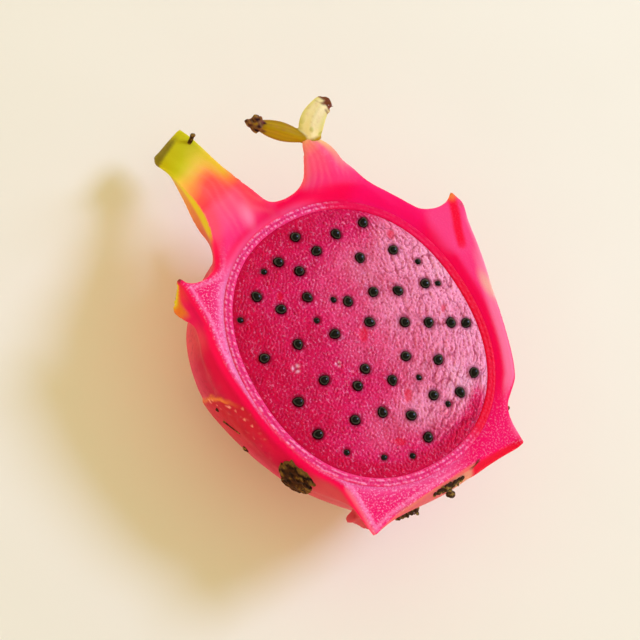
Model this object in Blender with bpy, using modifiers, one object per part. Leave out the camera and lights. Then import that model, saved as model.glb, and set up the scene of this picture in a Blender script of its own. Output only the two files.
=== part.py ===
"""Half a red-fleshed dragon fruit, cut lengthwise, lying on its back.

+Y points to the crown, where the longest bracts grow, and -Y to the stem.
+Z is square to the cut face. The origin is the centre of the small flat spot
that the fruit rests on.

The rind with all its scales grew as one piece. The flesh is seated in it, and
the seeds that the cut lays bare are seated in the flesh.
"""

import math
from collections import namedtuple

import bmesh
import bpy
from mathutils import Matrix, Vector

MM = 0.001

# Driving dimensions, in metres.
RIM_HEIGHT = 38.0 * MM
BODY_RADII = Vector((35.3, 40.2, 34.0)) * MM
BODY_CENTRE = Vector((0.0, -1.5, -5.5)) * MM
CHEEK_RADII = Vector((28.6, 28.0, 23.6)) * MM
CHEEK_CENTRE = Vector((-7.4, 8.2, -13.3)) * MM
FLESH_RADII = Vector((30.8, 35.2, 29.0)) * MM
FLESH_CENTRE = Vector((0.0, -0.5, -5.5)) * MM
FLESH_GAP = 0.3 * MM
FLESH_FULLNESS = 2.2
DOME_RISE = 0.75 * MM
DOME_RADII = Vector((158.0, 180.6, 60.0)) * MM
FLANGE_DEPTH = 1.8 * MM
FLANGE_ROOT = 9.0 * MM
FLANGE_TAPER = 0.84
BEVEL_DEPTH = 60.0 * MM
BEVEL_SPREAD = 2.5
STEM_SCAR_RADIUS = 5.0 * MM
STEM_SCAR_PLACE = Vector((2.0, -41.0, -8.5)) * MM

SEED_LENGTH = 2.9 * MM
SEED_WIDTH = 2.6 * MM
SEED_HEIGHT = 2.5 * MM
SEED_GAP = 0.3 * MM
SMALL_SEED = 0.72
SEED_RISE = 0.15 * MM
GOLDEN_ANGLE = math.radians(137.5)

VOXEL = 1.0 * MM

# The flange that stands out from the body at the cut face, seen from above, in mm. Each run is a
# smooth line, and the runs meet at the points of its four teeth.
CROWN_EDGE = [
    (-32.0, 33.2), (-31.0, 31.6), (-27.8, 30.6), (-24.5, 30.4), (-22.2, 31.1), (-20.9, 32.6), (-19.8, 34.4),
    (-17.6, 36.8), (-13.0, 39.4), (-8.0, 40.6), (-5.2, 41.0), (-3.0, 40.4), (-0.4, 39.1), (3.0, 38.3), (5.9, 38.7),
    (8.6, 39.6), (12.4, 44.5), (16.5, 47.0), (21.0, 42.2), (22.5, 35.0), (26.8, 29.5), (30.6, 23.9),
    (32.3, 21.7), (34.8, 20.4), (37.4, 19.8), (40.0, 20.2), (42.3, 21.7)]
RIGHT_EDGE = [
    (42.3, 21.7), (43.4, 17.5), (40.8, 6.5), (37.6, -4.5), (34.5, -14.8), (32.3, -21.0), (30.2, -25.4),
    (26.8, -28.3), (24.6, -30.0), (23.2, -32.5), (22.8, -38.0), (22.7, -41.2)]
STEM_EDGE = [
    (22.7, -41.2), (19.0, -42.3), (13.0, -43.0), (8.2, -43.0), (5.8, -41.6), (2.5, -40.8), (-9.5, -41.0),
    (-19.8, -41.8), (-23.4, -42.5)]
LEFT_EDGE = [
    (-23.4, -42.5), (-23.9, -37.5), (-24.6, -29.5), (-29.5, -21.0), (-34.0, -8.0), (-35.2, 7.0),
    (-34.0, 20.0), (-32.7, 31.0), (-32.0, 33.2)]

# On two sides the skin is bevelled, and the cut face stops at these lines.
STEM_BEVEL = [
    (22.7, -41.2), (19.0, -40.0), (14.0, -39.5), (9.3, -39.4), (-2.1, -39.8), (-14.4, -40.6), (-23.4, -42.5)]
LEFT_BEVEL = [
    (-23.4, -42.5), (-23.2, -35.0), (-23.4, -28.7), (-26.8, -22.6), (-30.8, -11.6), (-32.4, -2.5),
    (-33.2, 8.5), (-31.9, 19.5), (-31.7, 29.0), (-32.0, 33.2)]
CLEAR_OF_LEAVES = [(-40, 60), (0, 75), (60, 60), (60, -30), (40, -60)]

# A leaf follows a Bezier curve, its keel. A wing leaves the keel on each side and droops away from
# the direction that the keel faces. Places are in mm, with z measured from the cut face.
# Widths are at the root, half way and at the tip, and thickness is at the root and the tip.
Leaf = namedtuple("Leaf", "path facing right left droop thick")

# Blades that hang from the flange.
CUT_LEAVES = {
    "left_tooth": Leaf(
        path=[(-31.6, 14, -2.4), (-31.6, 20, -1.6), (-31.2, 26, -1.2), (-31.9, 32.3, -1.0)],
        facing=(-0.1, 0, 1), right=(3, 3, 1), left=(2.5, 8.0, 3.0), droop=(5, 60), thick=(4, 2)),
    "stem_flap": Leaf(
        path=[(-16, -33, -5), (-20, -35, -4.8), (-23, -35.6, -4.6), (-25.8, -35.8, -4.4)],
        facing=(-0.2, -0.3, 0.9), right=(2, 2, 0.7), left=(5, 5, 0.8), droop=(10, 30), thick=(3, 1.6)),
}

# Leaves that spring from the rim beside the cut and rise past it.
LONG_BRACTS = {
    "crown_strap": Leaf(
        path=[(-16.5, 22, -6), (-18.9, 32.4, 8), (-6.3, 54.3, -17), (-11.8, 67.3, -21)],
        facing=(0.05, 0, 1), right=(16.5, 12.4, 8.8), left=(1, 8.5, 1.2), droop=(-2, 76), thick=(6, 2.2)),
    "crown_bract": Leaf(
        path=[(14, 27, -6), (17.5, 37, 0), (17.2, 43, 2.2), (14.4, 49.6, 3.6)],
        facing=(0, -0.2, 1), right=(12, 4.6, 1.5), left=(12, 7.4, 2.2), droop=(-4, 14), thick=(5.5, 2)),
    "left_curl": Leaf(
        path=[(14.2, 49.4, 3.2), (10.5, 52.4, 4.4), (7.4, 55, 4.6), (3.4, 58.8, 4.0)],
        facing=(-0.3, -0.1, 1), right=(1.2, 2.8, 1.7), left=(1.2, 2.8, 1.7), droop=(20, 20), thick=(2.2, 2)),
    "right_curl": Leaf(
        path=[(15.2, 47.9, 3.4), (14.8, 52, 6), (19, 54, 6.8), (23.4, 55, 6.2)],
        facing=(-0.35, -0.1, 0.95), right=(2.2, 3.1, 2.4), left=(2, 3, 2.4), droop=(12, 12), thick=(2, 1.5)),
}

# Scales that lie on the round of the fruit. An angle is measured about the fruit's long axis, down
# from the right side of the rim. Lengths are in mm, and lift is how far the tip stands off.
Scale = namedtuple("Scale", "angle root length width lift")
SKIN_SCALES = {
    "stem_scale_right": Scale(angle=38, root=-33, length=26, width=11, lift=5),
    "stem_scale_under": Scale(angle=88, root=-32, length=26, width=12, lift=2),
    "stem_scale_left": Scale(angle=134, root=-34, length=22, width=10, lift=0.8),
    "side_scale_right": Scale(angle=56, root=-8, length=28, width=11, lift=6),
    "back_scale": Scale(angle=108, root=-8, length=28, width=11, lift=3.5),
    "shoulder_scale_left": Scale(angle=132, root=-4, length=22, width=10, lift=2),
    "shoulder_scale_right": Scale(angle=36, root=2, length=24, width=10, lift=5),
}

# Long bracts of the crown that hang below the cut.
LOW_BRACTS = {
    "low_bract_right": Leaf(
        path=[(10, 20, -26), (15, 30, -26), (18, 36, -28), (19.5, 41.5, -30)],
        facing=(0.45, 0.2, -0.85), right=(11, 7, 1.2), left=(11, 7, 1.2), droop=(20, 20), thick=(5, 1.8)),
    "low_bract_left": Leaf(
        path=[(-6, 18, -26), (-4, 32, -22), (-2.5, 41, -21), (-1.5, 48, -22)],
        facing=(-0.1, 0.3, -0.9), right=(11, 6.6, 1.2), left=(11, 6.6, 1.2), droop=(20, 20), thick=(5.5, 1.8)),
    "low_bract_middle": Leaf(
        path=[(3, 28, -14), (3, 35, -15), (2, 40, -16.5), (1, 43, -18.5)],
        facing=(0, 0.5, -0.85), right=(9, 6, 1), left=(9, 6, 1), droop=(25, 25), thick=(5, 1.8)),
}

# The seeds that the cut lays bare, row by row from the crown to the stem, as (x, y) in mm.
SEEDS = [
    (-0.5, 29.5), (-8, 26), (9, 25.5), (17, 25), (2, 24), (-4.5, 21.5), (-17.5, 21), (11, 17.5),
    (20, 15.5), (-14, 15.5), (-6.5, 15), (2, 9.5), (9, 8.5), (-24, 7), (15, 6), (-15, 6), (22.5, 4.5),
    (-5.5, 4), (4, 2.5), (12, -1.5), (17.5, -4.5), (-14, -4.5), (-22.5, -6), (-3.5, -7), (22.8, -7),
    (26.3, -8.9), (7.5, -9), (-7.5, -9.5), (1, -12.5), (14.5, -13.5), (-22.5, -15), (-12.5, -16.5),
    (-5.5, -18), (21, -20.5), (8.5, -20.5), (0.5, -22), (15, -23), (1.5, -28.5),
]
SMALL_SEEDS = [
    (-12.5, 25.5), (-24, 17.8), (-1, 11.5), (24, 10), (-7.5, 9), (25.5, 3), (7.5, -15), (-18.5, -22),
    (10.5, -24), (-11, -27.5), (-4.5, -30.5),
]


def at(x, y, z):
    """A place in metres, from millimetres with z measured from the cut face."""
    return Vector((x, y, z)) * MM + Vector((0, 0, RIM_HEIGHT))


def collection(name):
    group = bpy.data.collections.new(name)
    bpy.context.scene.collection.children.link(group)
    return group


def material(name, colour, roughness):
    finish = bpy.data.materials.new(name)
    finish.use_nodes = True
    shader = finish.node_tree.nodes["Principled BSDF"]
    shader.inputs["Base Color"].default_value = (*colour, 1.0)
    shader.inputs["Roughness"].default_value = roughness
    shader.inputs["Metallic"].default_value = 0.0
    finish.diffuse_color = (*colour, 1.0)
    return finish


def mesh_object(name, shape, group, finish=None, smooth=True):
    """Turns a bmesh into a named object."""
    bmesh.ops.recalc_face_normals(shape, faces=shape.faces)
    mesh = bpy.data.meshes.new(name)
    shape.to_mesh(mesh)
    shape.free()
    if smooth:
        mesh.shade_smooth()
    if finish:
        mesh.materials.append(finish)
    thing = bpy.data.objects.new(name, mesh)
    group.objects.link(thing)
    return thing


def as_cutter(thing):
    thing.display_type = "WIRE"
    thing.hide_render = True
    return thing


def boolean(thing, operation, other):
    cut = thing.modifiers.new(f"{operation.lower()} {other.name}", "BOOLEAN")
    cut.operation = operation
    cut.solver = "EXACT"
    cut.object = other
    return cut


def plump(direction, fullness):
    """How far out a slightly squared oval lies, against a true one, in a direction seen from above."""
    reach = math.hypot(direction.x, direction.y)
    if reach < 1e-9:
        return 1.0
    across = abs(direction.x) / reach
    along = abs(direction.y) / reach
    return (across**fullness + along**fullness) ** (-1.0 / fullness)


def add_oval(shape, centre, radii, segments, rings, fullness=2.0):
    """Adds a closed ball, oval, and slightly squared in plan if its fullness is above 2."""
    made = bmesh.ops.create_uvsphere(shape, u_segments=segments, v_segments=rings, radius=1.0)
    for vert in made["verts"]:
        fuller = plump(vert.co, fullness)
        vert.co.x *= fuller * radii.x
        vert.co.y *= fuller * radii.y
        vert.co.z *= radii.z
        vert.co += centre + Vector((0, 0, RIM_HEIGHT))


def smooth_line(points, steps=4):
    """A smooth run through points seen from above, in mm, short of its last point."""
    points = [Vector(point) for point in points]
    points = [2 * points[0] - points[1], *points, 2 * points[-1] - points[-2]]
    line = []
    for before, start, end, after in zip(points, points[1:], points[2:], points[3:]):
        for step in range(steps):
            t = step / steps
            bend = 2 * before - 5 * start + 4 * end - after
            turn = 3 * start - before - 3 * end + after
            line.append(0.5 * (2 * start + (end - before) * t + bend * t**2 + turn * t**3))
    return line


def add_loft(shape, line, levels):
    """Adds a closed solid through copies of a line, each at its own height and scale."""
    middle = BODY_CENTRE.xy
    rings = []
    for height, scale in levels:
        ring = []
        for point in line:
            place = middle + (point * MM - middle) * scale
            ring.append(shape.verts.new((place.x, place.y, RIM_HEIGHT + height)))
        rings.append(ring)
    for near, far in zip(rings, rings[1:]):
        for k in range(len(line)):
            following = (k + 1) % len(line)
            shape.faces.new((near[k], near[following], far[following], far[k]))
    caps = [shape.faces.new(rings[0]), shape.faces.new(rings[-1])]
    bmesh.ops.triangulate(shape, faces=caps)


def bezier(points, t):
    """A point on a Bezier curve of four control points, and the direction there."""
    a, b, c, d = points
    s = 1.0 - t
    place = a * s**3 + b * (3 * s * s * t) + c * (3 * s * t * t) + d * t**3
    heading = (b - a) * (s * s) + (c - b) * (2 * s * t) + (d - c) * (t * t)
    return place, heading.normalized()


def three_way(values, t):
    """A smooth value that passes through three given ones at the root, half way and at the tip."""
    root, middle, tip = values
    return root * (1 - t) * (1 - 2 * t) + middle * 4 * t * (1 - t) + tip * t * (2 * t - 1)


def add_leaf(shape, leaf, stations=9):
    """Adds a closed leaf: a loft of six-sided sections, thick at the keel and thin at both margins."""
    path = [at(*point) for point in leaf.path]
    rings = []
    for index in range(stations):
        t = index / (stations - 1)
        keel, heading = bezier(path, t)
        out = Vector(leaf.facing)
        out = (out - heading * out.dot(heading)).normalized()
        side = heading.cross(out)
        half = 0.5 * MM * (leaf.thick[0] + (leaf.thick[1] - leaf.thick[0]) * t)
        ring = []
        for sign, widths, droop in ((1, leaf.right, leaf.droop[0]), (-1, leaf.left, leaf.droop[1])):
            angle = math.radians(droop)
            reach = three_way(widths, t) * MM
            margin = keel + (side * (sign * math.cos(angle)) - out * math.sin(angle)) * reach
            lift = (out * math.cos(angle) + side * (sign * math.sin(angle))) * (0.5 * half)
            ring.append((margin, lift))
        (right, right_lift), (left, left_lift) = ring
        places = [right + right_lift, keel + out * half, left + left_lift,
                  left - left_lift, keel - out * half, right - right_lift]
        rings.append([shape.verts.new(place) for place in places])
    for near, far in zip(rings, rings[1:]):
        for k in range(6):
            following = (k + 1) % 6
            shape.faces.new((near[k], near[following], far[following], far[k]))
    shape.faces.new(rings[0])
    shape.faces.new(rings[-1])


def reach_of_oval(start, ray, centre, radii):
    """How far along a ray from within it an oval's skin is, in mm, and the way out of it there."""
    centre, radii = centre / MM, radii / MM
    near = Vector((start[k] - centre[k]) / radii[k] for k in range(3))
    step = Vector(ray[k] / radii[k] for k in range(3))
    half = near.dot(step)
    spread = half * half - step.dot(step) * (near.dot(near) - 1.0)
    if spread < 0.0:
        return 0.0, Vector((0, 0, -1))
    reach = (math.sqrt(spread) - half) / step.dot(step)
    way = Vector((near[k] + step[k] * reach) / radii[k] for k in range(3))
    return reach, way.normalized()


def skin_place(angle, y, lift):
    """A place on the round of the body, in mm with z from the cut face, and the way out of it."""
    turn = math.radians(angle)
    ray = Vector((math.cos(turn), 0, -math.sin(turn)))
    start = Vector((0, min(max(y, -39.0), 36.0), BODY_CENTRE.z / MM))
    ovals = [(BODY_CENTRE, BODY_RADII), (CHEEK_CENTRE, CHEEK_RADII)]
    reach, way = max((reach_of_oval(start, ray, *oval) for oval in ovals), key=lambda found: found[0])
    place = start + ray * reach
    place.y = y
    return place + way * lift, way


def skin_leaf(scale):
    """A scale that hugs the body, rooted in it, with its tip lifted clear."""
    lift = scale.lift
    stops = [(0.0, -2.0), (0.4, 0.3 * lift - 0.8), (0.75, 0.5 * lift - 0.4), (1.0, lift - 0.2)]
    path = [skin_place(scale.angle, scale.root + part * scale.length, rise)[0] for part, rise in stops]
    facing = skin_place(scale.angle, scale.root + 0.5 * scale.length, 0)[1]
    widths = (0.9 * scale.width, 0.8 * scale.width, 1.2)
    return Leaf(path=path, facing=facing, right=widths, left=widths, droop=(24, 24), thick=(4, 1.8))


def soften(thing, triangles_kept):
    """Fuses overlapping shapes into one skin, eases the creases and thins out the triangles."""
    fuse = thing.modifiers.new("fuse", "REMESH")
    fuse.mode = "VOXEL"
    fuse.voxel_size = VOXEL
    ease = thing.modifiers.new("ease", "SMOOTH")
    ease.factor = 0.5
    ease.iterations = 3
    thin = thing.modifiers.new("thin", "DECIMATE")
    thin.ratio = triangles_kept


def knife(group):
    """All that the knife left: what is below the cut face and inside the bevels that run down from it."""
    line = smooth_line(STEM_BEVEL) + smooth_line(LEFT_BEVEL) + [Vector(point) for point in CLEAR_OF_LEAVES]
    shape = bmesh.new()
    add_loft(shape, line, [(0.0, 1.0), (-BEVEL_DEPTH, BEVEL_SPREAD)])
    return as_cutter(mesh_object("knife", shape, group, smooth=False))


def floor_cutter(group):
    """Everything below the spot that the fruit rests on."""
    shape = bmesh.new()
    size = 4 * BODY_RADII.y
    made = bmesh.ops.create_cube(shape, size=size)
    for vert in made["verts"]:
        vert.co.z -= size / 2
    return as_cutter(mesh_object("floor", shape, group, smooth=False))


def hollow_cutter(group):
    """The hollow of the rind, which the flesh fills with a hair's gap."""
    shape = bmesh.new()
    gap = Vector((FLESH_GAP, FLESH_GAP, FLESH_GAP))
    add_oval(shape, FLESH_CENTRE, FLESH_RADII + gap, 40, 20, FLESH_FULLNESS)
    return as_cutter(mesh_object("hollow", shape, group))


def long_bracts(group):
    shape = bmesh.new()
    for leaf in LONG_BRACTS.values():
        add_leaf(shape, leaf)
    guide = as_cutter(mesh_object("long_bracts", shape, group))
    soften(guide, triangles_kept=0.14)
    return guide


def add_stem_scar(shape):
    """The woody stub where the fruit was cut from its stem."""
    turn = Matrix.Rotation(math.radians(90), 4, "X")
    place = Matrix.Translation(STEM_SCAR_PLACE + Vector((0, 0, RIM_HEIGHT)))
    bmesh.ops.create_cone(
        shape, cap_ends=True, segments=20, radius1=STEM_SCAR_RADIUS, radius2=1.2 * STEM_SCAR_RADIUS,
        depth=4 * MM, matrix=place @ turn)


def rind(parts, cutters, finish):
    shape = bmesh.new()
    add_oval(shape, BODY_CENTRE, BODY_RADII, segments=48, rings=28)
    add_oval(shape, CHEEK_CENTRE, CHEEK_RADII, segments=40, rings=24)
    edge = [point for run in (CROWN_EDGE, RIGHT_EDGE, STEM_EDGE, LEFT_EDGE) for point in smooth_line(run)]
    add_loft(shape, edge, [(3 * MM, 1.0), (-FLANGE_DEPTH, 1.0), (-FLANGE_ROOT, FLANGE_TAPER)])
    for leaf in list(CUT_LEAVES.values()) + list(LOW_BRACTS.values()):
        add_leaf(shape, leaf)
    for scale in SKIN_SCALES.values():
        add_leaf(shape, skin_leaf(scale))
    add_stem_scar(shape)
    thing = mesh_object("rind", shape, parts, finish)
    soften(thing, triangles_kept=0.10)
    boolean(thing, "INTERSECT", knife(cutters))
    boolean(thing, "UNION", long_bracts(cutters))
    boolean(thing, "DIFFERENCE", hollow_cutter(cutters))
    boolean(thing, "DIFFERENCE", floor_cutter(cutters))
    return thing


def seed_list():
    """Each seed's name, place and size against a full one."""
    seeds = [(place, 1.0) for place in SEEDS] + [(place, SMALL_SEED) for place in SMALL_SEEDS]
    return [(f"seed_{number:02d}", place, size) for number, (place, size) in enumerate(seeds, start=1)]


def dome_height(x, y):
    """Height of the flesh's low dome over the cut face, at a place in mm."""
    flat = Vector((x, y - FLESH_CENTRE.y / MM, 0)) * MM
    level = Vector((flat.x / DOME_RADII.x, flat.y / DOME_RADII.y, 0))
    out = level.length / plump(level, FLESH_FULLNESS)
    return DOME_RISE - DOME_RADII.z * (1.0 - math.sqrt(1.0 - out * out))


def add_seed(shape, number, place, size, gap=0.0):
    """Adds a plump seed, turned its own way, that stands half out of the flesh."""
    axes = Vector((SEED_WIDTH, SEED_LENGTH, SEED_HEIGHT)) * (0.5 * size) + Vector((gap, gap, gap))
    rise = SEED_RISE - (1.0 - size) * 0.5 * SEED_HEIGHT + dome_height(*place)
    spot = at(place[0], place[1], 0) + Vector((0, 0, rise))
    turn = Matrix.Rotation(number * GOLDEN_ANGLE, 4, "Z")
    matrix = Matrix.Translation(spot) @ turn @ Matrix.Diagonal((*axes, 1.0))
    bmesh.ops.create_uvsphere(shape, u_segments=8, v_segments=6, radius=1.0, matrix=matrix)


def flesh(parts, cutters, finish):
    shape = bmesh.new()
    add_oval(shape, FLESH_CENTRE, FLESH_RADII, 40, 20, FLESH_FULLNESS)
    thing = mesh_object("flesh", shape, parts, finish)
    dome = bmesh.new()
    centre = Vector((FLESH_CENTRE.x, FLESH_CENTRE.y, DOME_RISE - DOME_RADII.z))
    add_oval(dome, centre, DOME_RADII, 40, 64, FLESH_FULLNESS)
    boolean(thing, "INTERSECT", as_cutter(mesh_object("dome", dome, cutters)))
    pockets = bmesh.new()
    for number, (_, place, size) in enumerate(seed_list()):
        add_seed(pockets, number, place, size, gap=SEED_GAP)
    boolean(thing, "DIFFERENCE", as_cutter(mesh_object("seed_pockets", pockets, cutters)))
    return thing


def seeds(parts, finish):
    for number, (name, place, size) in enumerate(seed_list()):
        shape = bmesh.new()
        add_seed(shape, number, place, size)
        mesh_object(name, shape, parts, finish)


def main():
    for thing in list(bpy.data.objects):
        bpy.data.objects.remove(thing, do_unlink=True)
    parts = collection("dragon_fruit_half")
    cutters = collection("cutters")
    rind(parts, cutters, material("rind", (0.86, 0.06, 0.18), roughness=0.45))
    flesh(parts, cutters, material("flesh", (0.62, 0.01, 0.12), roughness=0.25))
    seeds(parts, material("seed", (0.01, 0.01, 0.01), roughness=0.12))


main()
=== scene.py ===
"""Looks of half a red-fleshed dragon fruit, lying on its back with the cut face up.

The rind is a distance field, sampled on a grid and turned into a mesh: a flange with pointed teeth,
two long bracts and many skin scales grow out of the body with smooth joints. Places are in millimetres,
with z measured from the cut face, until a mesh is made; that face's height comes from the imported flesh.
"""

import math
from collections import namedtuple

import bmesh
import bpy
import numpy as np
from mathutils import Matrix, Vector


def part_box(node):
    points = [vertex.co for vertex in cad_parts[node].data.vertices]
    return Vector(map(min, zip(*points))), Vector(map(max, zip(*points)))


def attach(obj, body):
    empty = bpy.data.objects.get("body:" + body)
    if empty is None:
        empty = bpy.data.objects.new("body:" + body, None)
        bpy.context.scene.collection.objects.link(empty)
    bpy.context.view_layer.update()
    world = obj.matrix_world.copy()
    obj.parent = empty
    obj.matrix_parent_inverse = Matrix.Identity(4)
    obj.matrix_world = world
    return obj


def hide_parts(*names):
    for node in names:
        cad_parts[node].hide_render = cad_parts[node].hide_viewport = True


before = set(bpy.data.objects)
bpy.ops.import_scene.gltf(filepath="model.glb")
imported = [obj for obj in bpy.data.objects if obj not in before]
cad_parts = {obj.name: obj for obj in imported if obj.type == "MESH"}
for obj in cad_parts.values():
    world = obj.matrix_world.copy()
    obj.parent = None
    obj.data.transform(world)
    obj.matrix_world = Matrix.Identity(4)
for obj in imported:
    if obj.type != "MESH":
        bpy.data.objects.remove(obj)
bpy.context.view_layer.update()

MM = 0.001
DOME_RISE = 0.75  # the flesh's top over the cut face, in mm
RIM_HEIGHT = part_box("flesh")[1][2] - DOME_RISE * MM
RIM_MM = RIM_HEIGHT / MM

# The body and the flesh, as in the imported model, in mm.
BODY_RADII = np.array((35.3, 40.2, 34.0))
BODY_CENTRE = np.array((0.0, -1.5, -5.5))
CHEEK_RADII = np.array((28.6, 28.0, 23.6))
CHEEK_CENTRE = np.array((-7.4, 8.2, -13.3))
FLESH_RADII = np.array((30.8, 35.2, 29.0))
FLESH_CENTRE = np.array((0.0, -0.5, -5.5))
FLESH_GAP = 0.3
FULLNESS = 2.2
# The flesh's radii in the plane of the cut face.
CUT_RADII = FLESH_RADII[:2] * math.sqrt(1 - (FLESH_CENTRE[2] / FLESH_RADII[2]) ** 2)

# Sampling steps in mm; the rind's is as fine as 200,000 triangles allow.
VOXEL = 0.58
FINE_VOXEL = 0.22
SCAR_VOXEL = 1.3 * FINE_VOXEL
BIT_VOXEL = 0.16

# The flange round the cut face, seen from above: each run ends at a tooth's point.
CROWN = [
    (-32.0, 33.2), (-31.0, 31.6), (-27.8, 30.6), (-24.5, 30.4), (-22.2, 31.1), (-20.6, 33.0),
    (-19.2, 37.0), (-17.0, 44.0), (-10.5, 47.5), (-5.2, 45.2), (-3.8, 42.3), (-3.0, 40.7),
    (-0.4, 39.1), (3.0, 38.3), (5.9, 38.7), (8.6, 39.6), (10.6, 41.3), (12.4, 44.5), (16.5, 47.0),
    (21.0, 42.2), (21.9, 38.5), (22.5, 35.0), (24.2, 32.3), (26.8, 29.5), (28.9, 26.6),
    (30.6, 23.9), (32.3, 21.7), (34.8, 20.4), (37.4, 19.8), (40.0, 20.2), (42.3, 21.7),
]
RIGHT = [
    (42.3, 21.7), (43.0, 19.6), (43.4, 17.5), (42.1, 13.0), (40.8, 6.5), (39.3, 0.6), (37.6, -4.5),
    (36.1, -9.6), (34.5, -14.8), (32.3, -21.0), (30.2, -25.4), (28.8, -26.9), (26.8, -28.3),
    (24.6, -30.0), (23.2, -32.5), (22.8, -35.2), (22.8, -38.0), (22.7, -41.2),
]
FLANGE_STEM = [
    (22.7, -41.2), (19.0, -42.3), (13.0, -43.0), (8.2, -43.0), (5.8, -41.6), (2.5, -40.8),
    (-3.5, -40.8), (-9.5, -41.0), (-15.5, -41.4), (-19.8, -41.8), (-23.4, -42.5),
]
FLANGE_LEFT = [
    (-23.4, -42.5), (-23.9, -37.5), (-23.8, -33.0), (-24.6, -29.5), (-26.6, -26.0), (-29.5, -21.0),
    (-32.2, -15.0), (-34.0, -8.0), (-34.9, 0.0), (-35.2, 7.0), (-34.8, 14.0), (-34.0, 20.0),
    (-33.2, 26.0), (-32.7, 31.0), (-32.0, 33.2),
]
# Seen from the side: the broad scale on the left wall, whose margin stands just proud, and a corky patch.
SIDE_SCALE = [
    (8.2, -24.0), (7.8, -18.0), (7.0, -12.5), (5.8, -8.6), (4.2, -5.6), (2.0, -3.3), (-1.0, -2.0),
    (-5.0, -1.6), (-12.0, -2.6), (-18.0, -6.0), (-20.0, -16.0), (-16.0, -26.0), (-4.0, -30.0),
    (8.2, -24.0),
]
SCAR_EDGE = [
    (-16.0, -2.2), (-18.6, -2.2), (-21.8, -2.0), (-24.4, -2.8), (-25.3, -7.6), (-24.6, -13.0),
    (-22.4, -16.4), (-20.6, -15.4), (-19.6, -13.4), (-18.2, -8.4), (-16.0, -2.2),
]
# The line where the cut face ends: the side is bevelled from there.
CUT_STEM = [
    (22.7, -41.2), (19.0, -40.0), (14.0, -39.5), (9.3, -39.4), (4.3, -39.6), (-2.1, -39.8),
    (-8.3, -40.1), (-14.4, -40.6), (-19.2, -41.2), (-23.4, -42.5),
]
CUT_LEFT = [
    (-23.4, -42.5), (-23.3, -39.0), (-23.2, -35.0), (-23.1, -31.4), (-23.4, -28.7), (-24.6, -26.0),
    (-26.8, -22.6), (-29.1, -17.2), (-30.8, -11.6), (-31.8, -7.0), (-32.4, -2.5), (-32.8, 2.5),
    (-33.2, 8.5), (-32.8, 14.5), (-31.9, 19.5), (-31.6, 24.5), (-31.7, 29.0), (-32.0, 33.2),
]

# The long strap is shaped level, then sags: how deep, between which places, and the way it swings.
SAG_DEPTH = 24.0
SAG_ALONG = (33.0, 60.0)
SAG_ACROSS = (5.0, -8.0)
SAG_WAY = np.array((0.42, 0.22, -1.0))

# A leaf has a Bezier keel, the way it faces, wing widths at equal steps (left as right unless given),
# droops in degrees, thickness and blending width at root and tip, and how much its wings curl.
Leaf = namedtuple("Leaf", "path facing right droop thick blend left cup", defaults=(None, 0.0))

CUT_LEAVES = {
    "left_tooth": Leaf(
        path=[(-31.8, 4, -2.4), (-32.4, 13, -1.2), (-31.0, 23, -0.9), (-31.9, 32.5, -0.6)],
        facing=(-0.1, 0, 1), right=(3, 3, 3, 2, 0.6), left=(3, 3, 3, 3, 2.6, 3.0, 6.2, 7.0, 1.0),
        droop=(5, 60), thick=(4, 1.2), blend=(5, 2)),
    "stem_flap": Leaf(
        path=[(-16, -33, -5), (-20, -35, -4.6), (-23, -35.6, -4.4), (-25.8, -35.8, -3.9)],
        facing=(-0.2, -0.3, 0.9), right=(2, 2, 1.6, 0.8, 0.2), left=(6, 8.4, 6.6, 2.8, 0.2),
        droop=(10, 30), thick=(3, 1.9), blend=(2, 0.6)),
}

LONG_BRACTS = {
    "crown_strap": Leaf(
        path=[(-16.5, 22, -5), (-15.2, 34, -0.6), (-14.6, 50, 2.3), (-20.7, 61.4, 1)],
        facing=(0.05, 0, 1), right=(16.5, 15.0, 12.4, 9.6, 10.0), left=(0.5, 3.8, 7.6, 5.2, 0.3),
        droop=(-4, 76), thick=(5, 3.4), blend=(6, 1)),
    "crown_bract": Leaf(
        path=[(14, 27, -6), (17.5, 37, 0), (17.2, 43, 2.2), (14.4, 49.6, 3.6)],
        facing=(0, -0.2, 1), right=(12, 7.8, 4.3, 3.1, 0.8), left=(12, 11, 7.7, 5.4, 1.9),
        droop=(-9, 14), thick=(5, 1.5), blend=(6, 1)),
}

CURLS = {
    "left_curl": Leaf(
        path=[(14.2, 49.4, 3.2), (10.5, 52.4, 4.4), (7.4, 55.0, 4.6), (4.6, 57.8, 4.0)],
        facing=(-0.3, -0.1, 1), right=(1.0, 2.0, 2.4, 2.1, 1.2), droop=(12, 12), thick=(1.5, 1.2),
        cup=-0.12, blend=(1, 0.5)),
    "right_curl": Leaf(
        path=[(15.2, 47.9, 3.4), (14.8, 52.0, 6.0), (19.0, 54.0, 6.8), (23.4, 55.0, 6.2)],
        facing=(-0.35, -0.1, 0.95), right=(2.4, 3.1, 3.1, 2.6, 2.2), left=(2.0, 2.9, 3.0, 2.6, 2.2),
        droop=(6, 6), thick=(1.2, 0.8), cup=-0.06, blend=(1, 0.5)),
}
# The charred knob at the left curl's tip: centres and radii.
KNOB = [((3.2, 59.0, 4.0), 1.1), ((5.0, 58.6, 4.5), 1.3), ((4.1, 57.3, 4.0), 1.2)]

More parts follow.
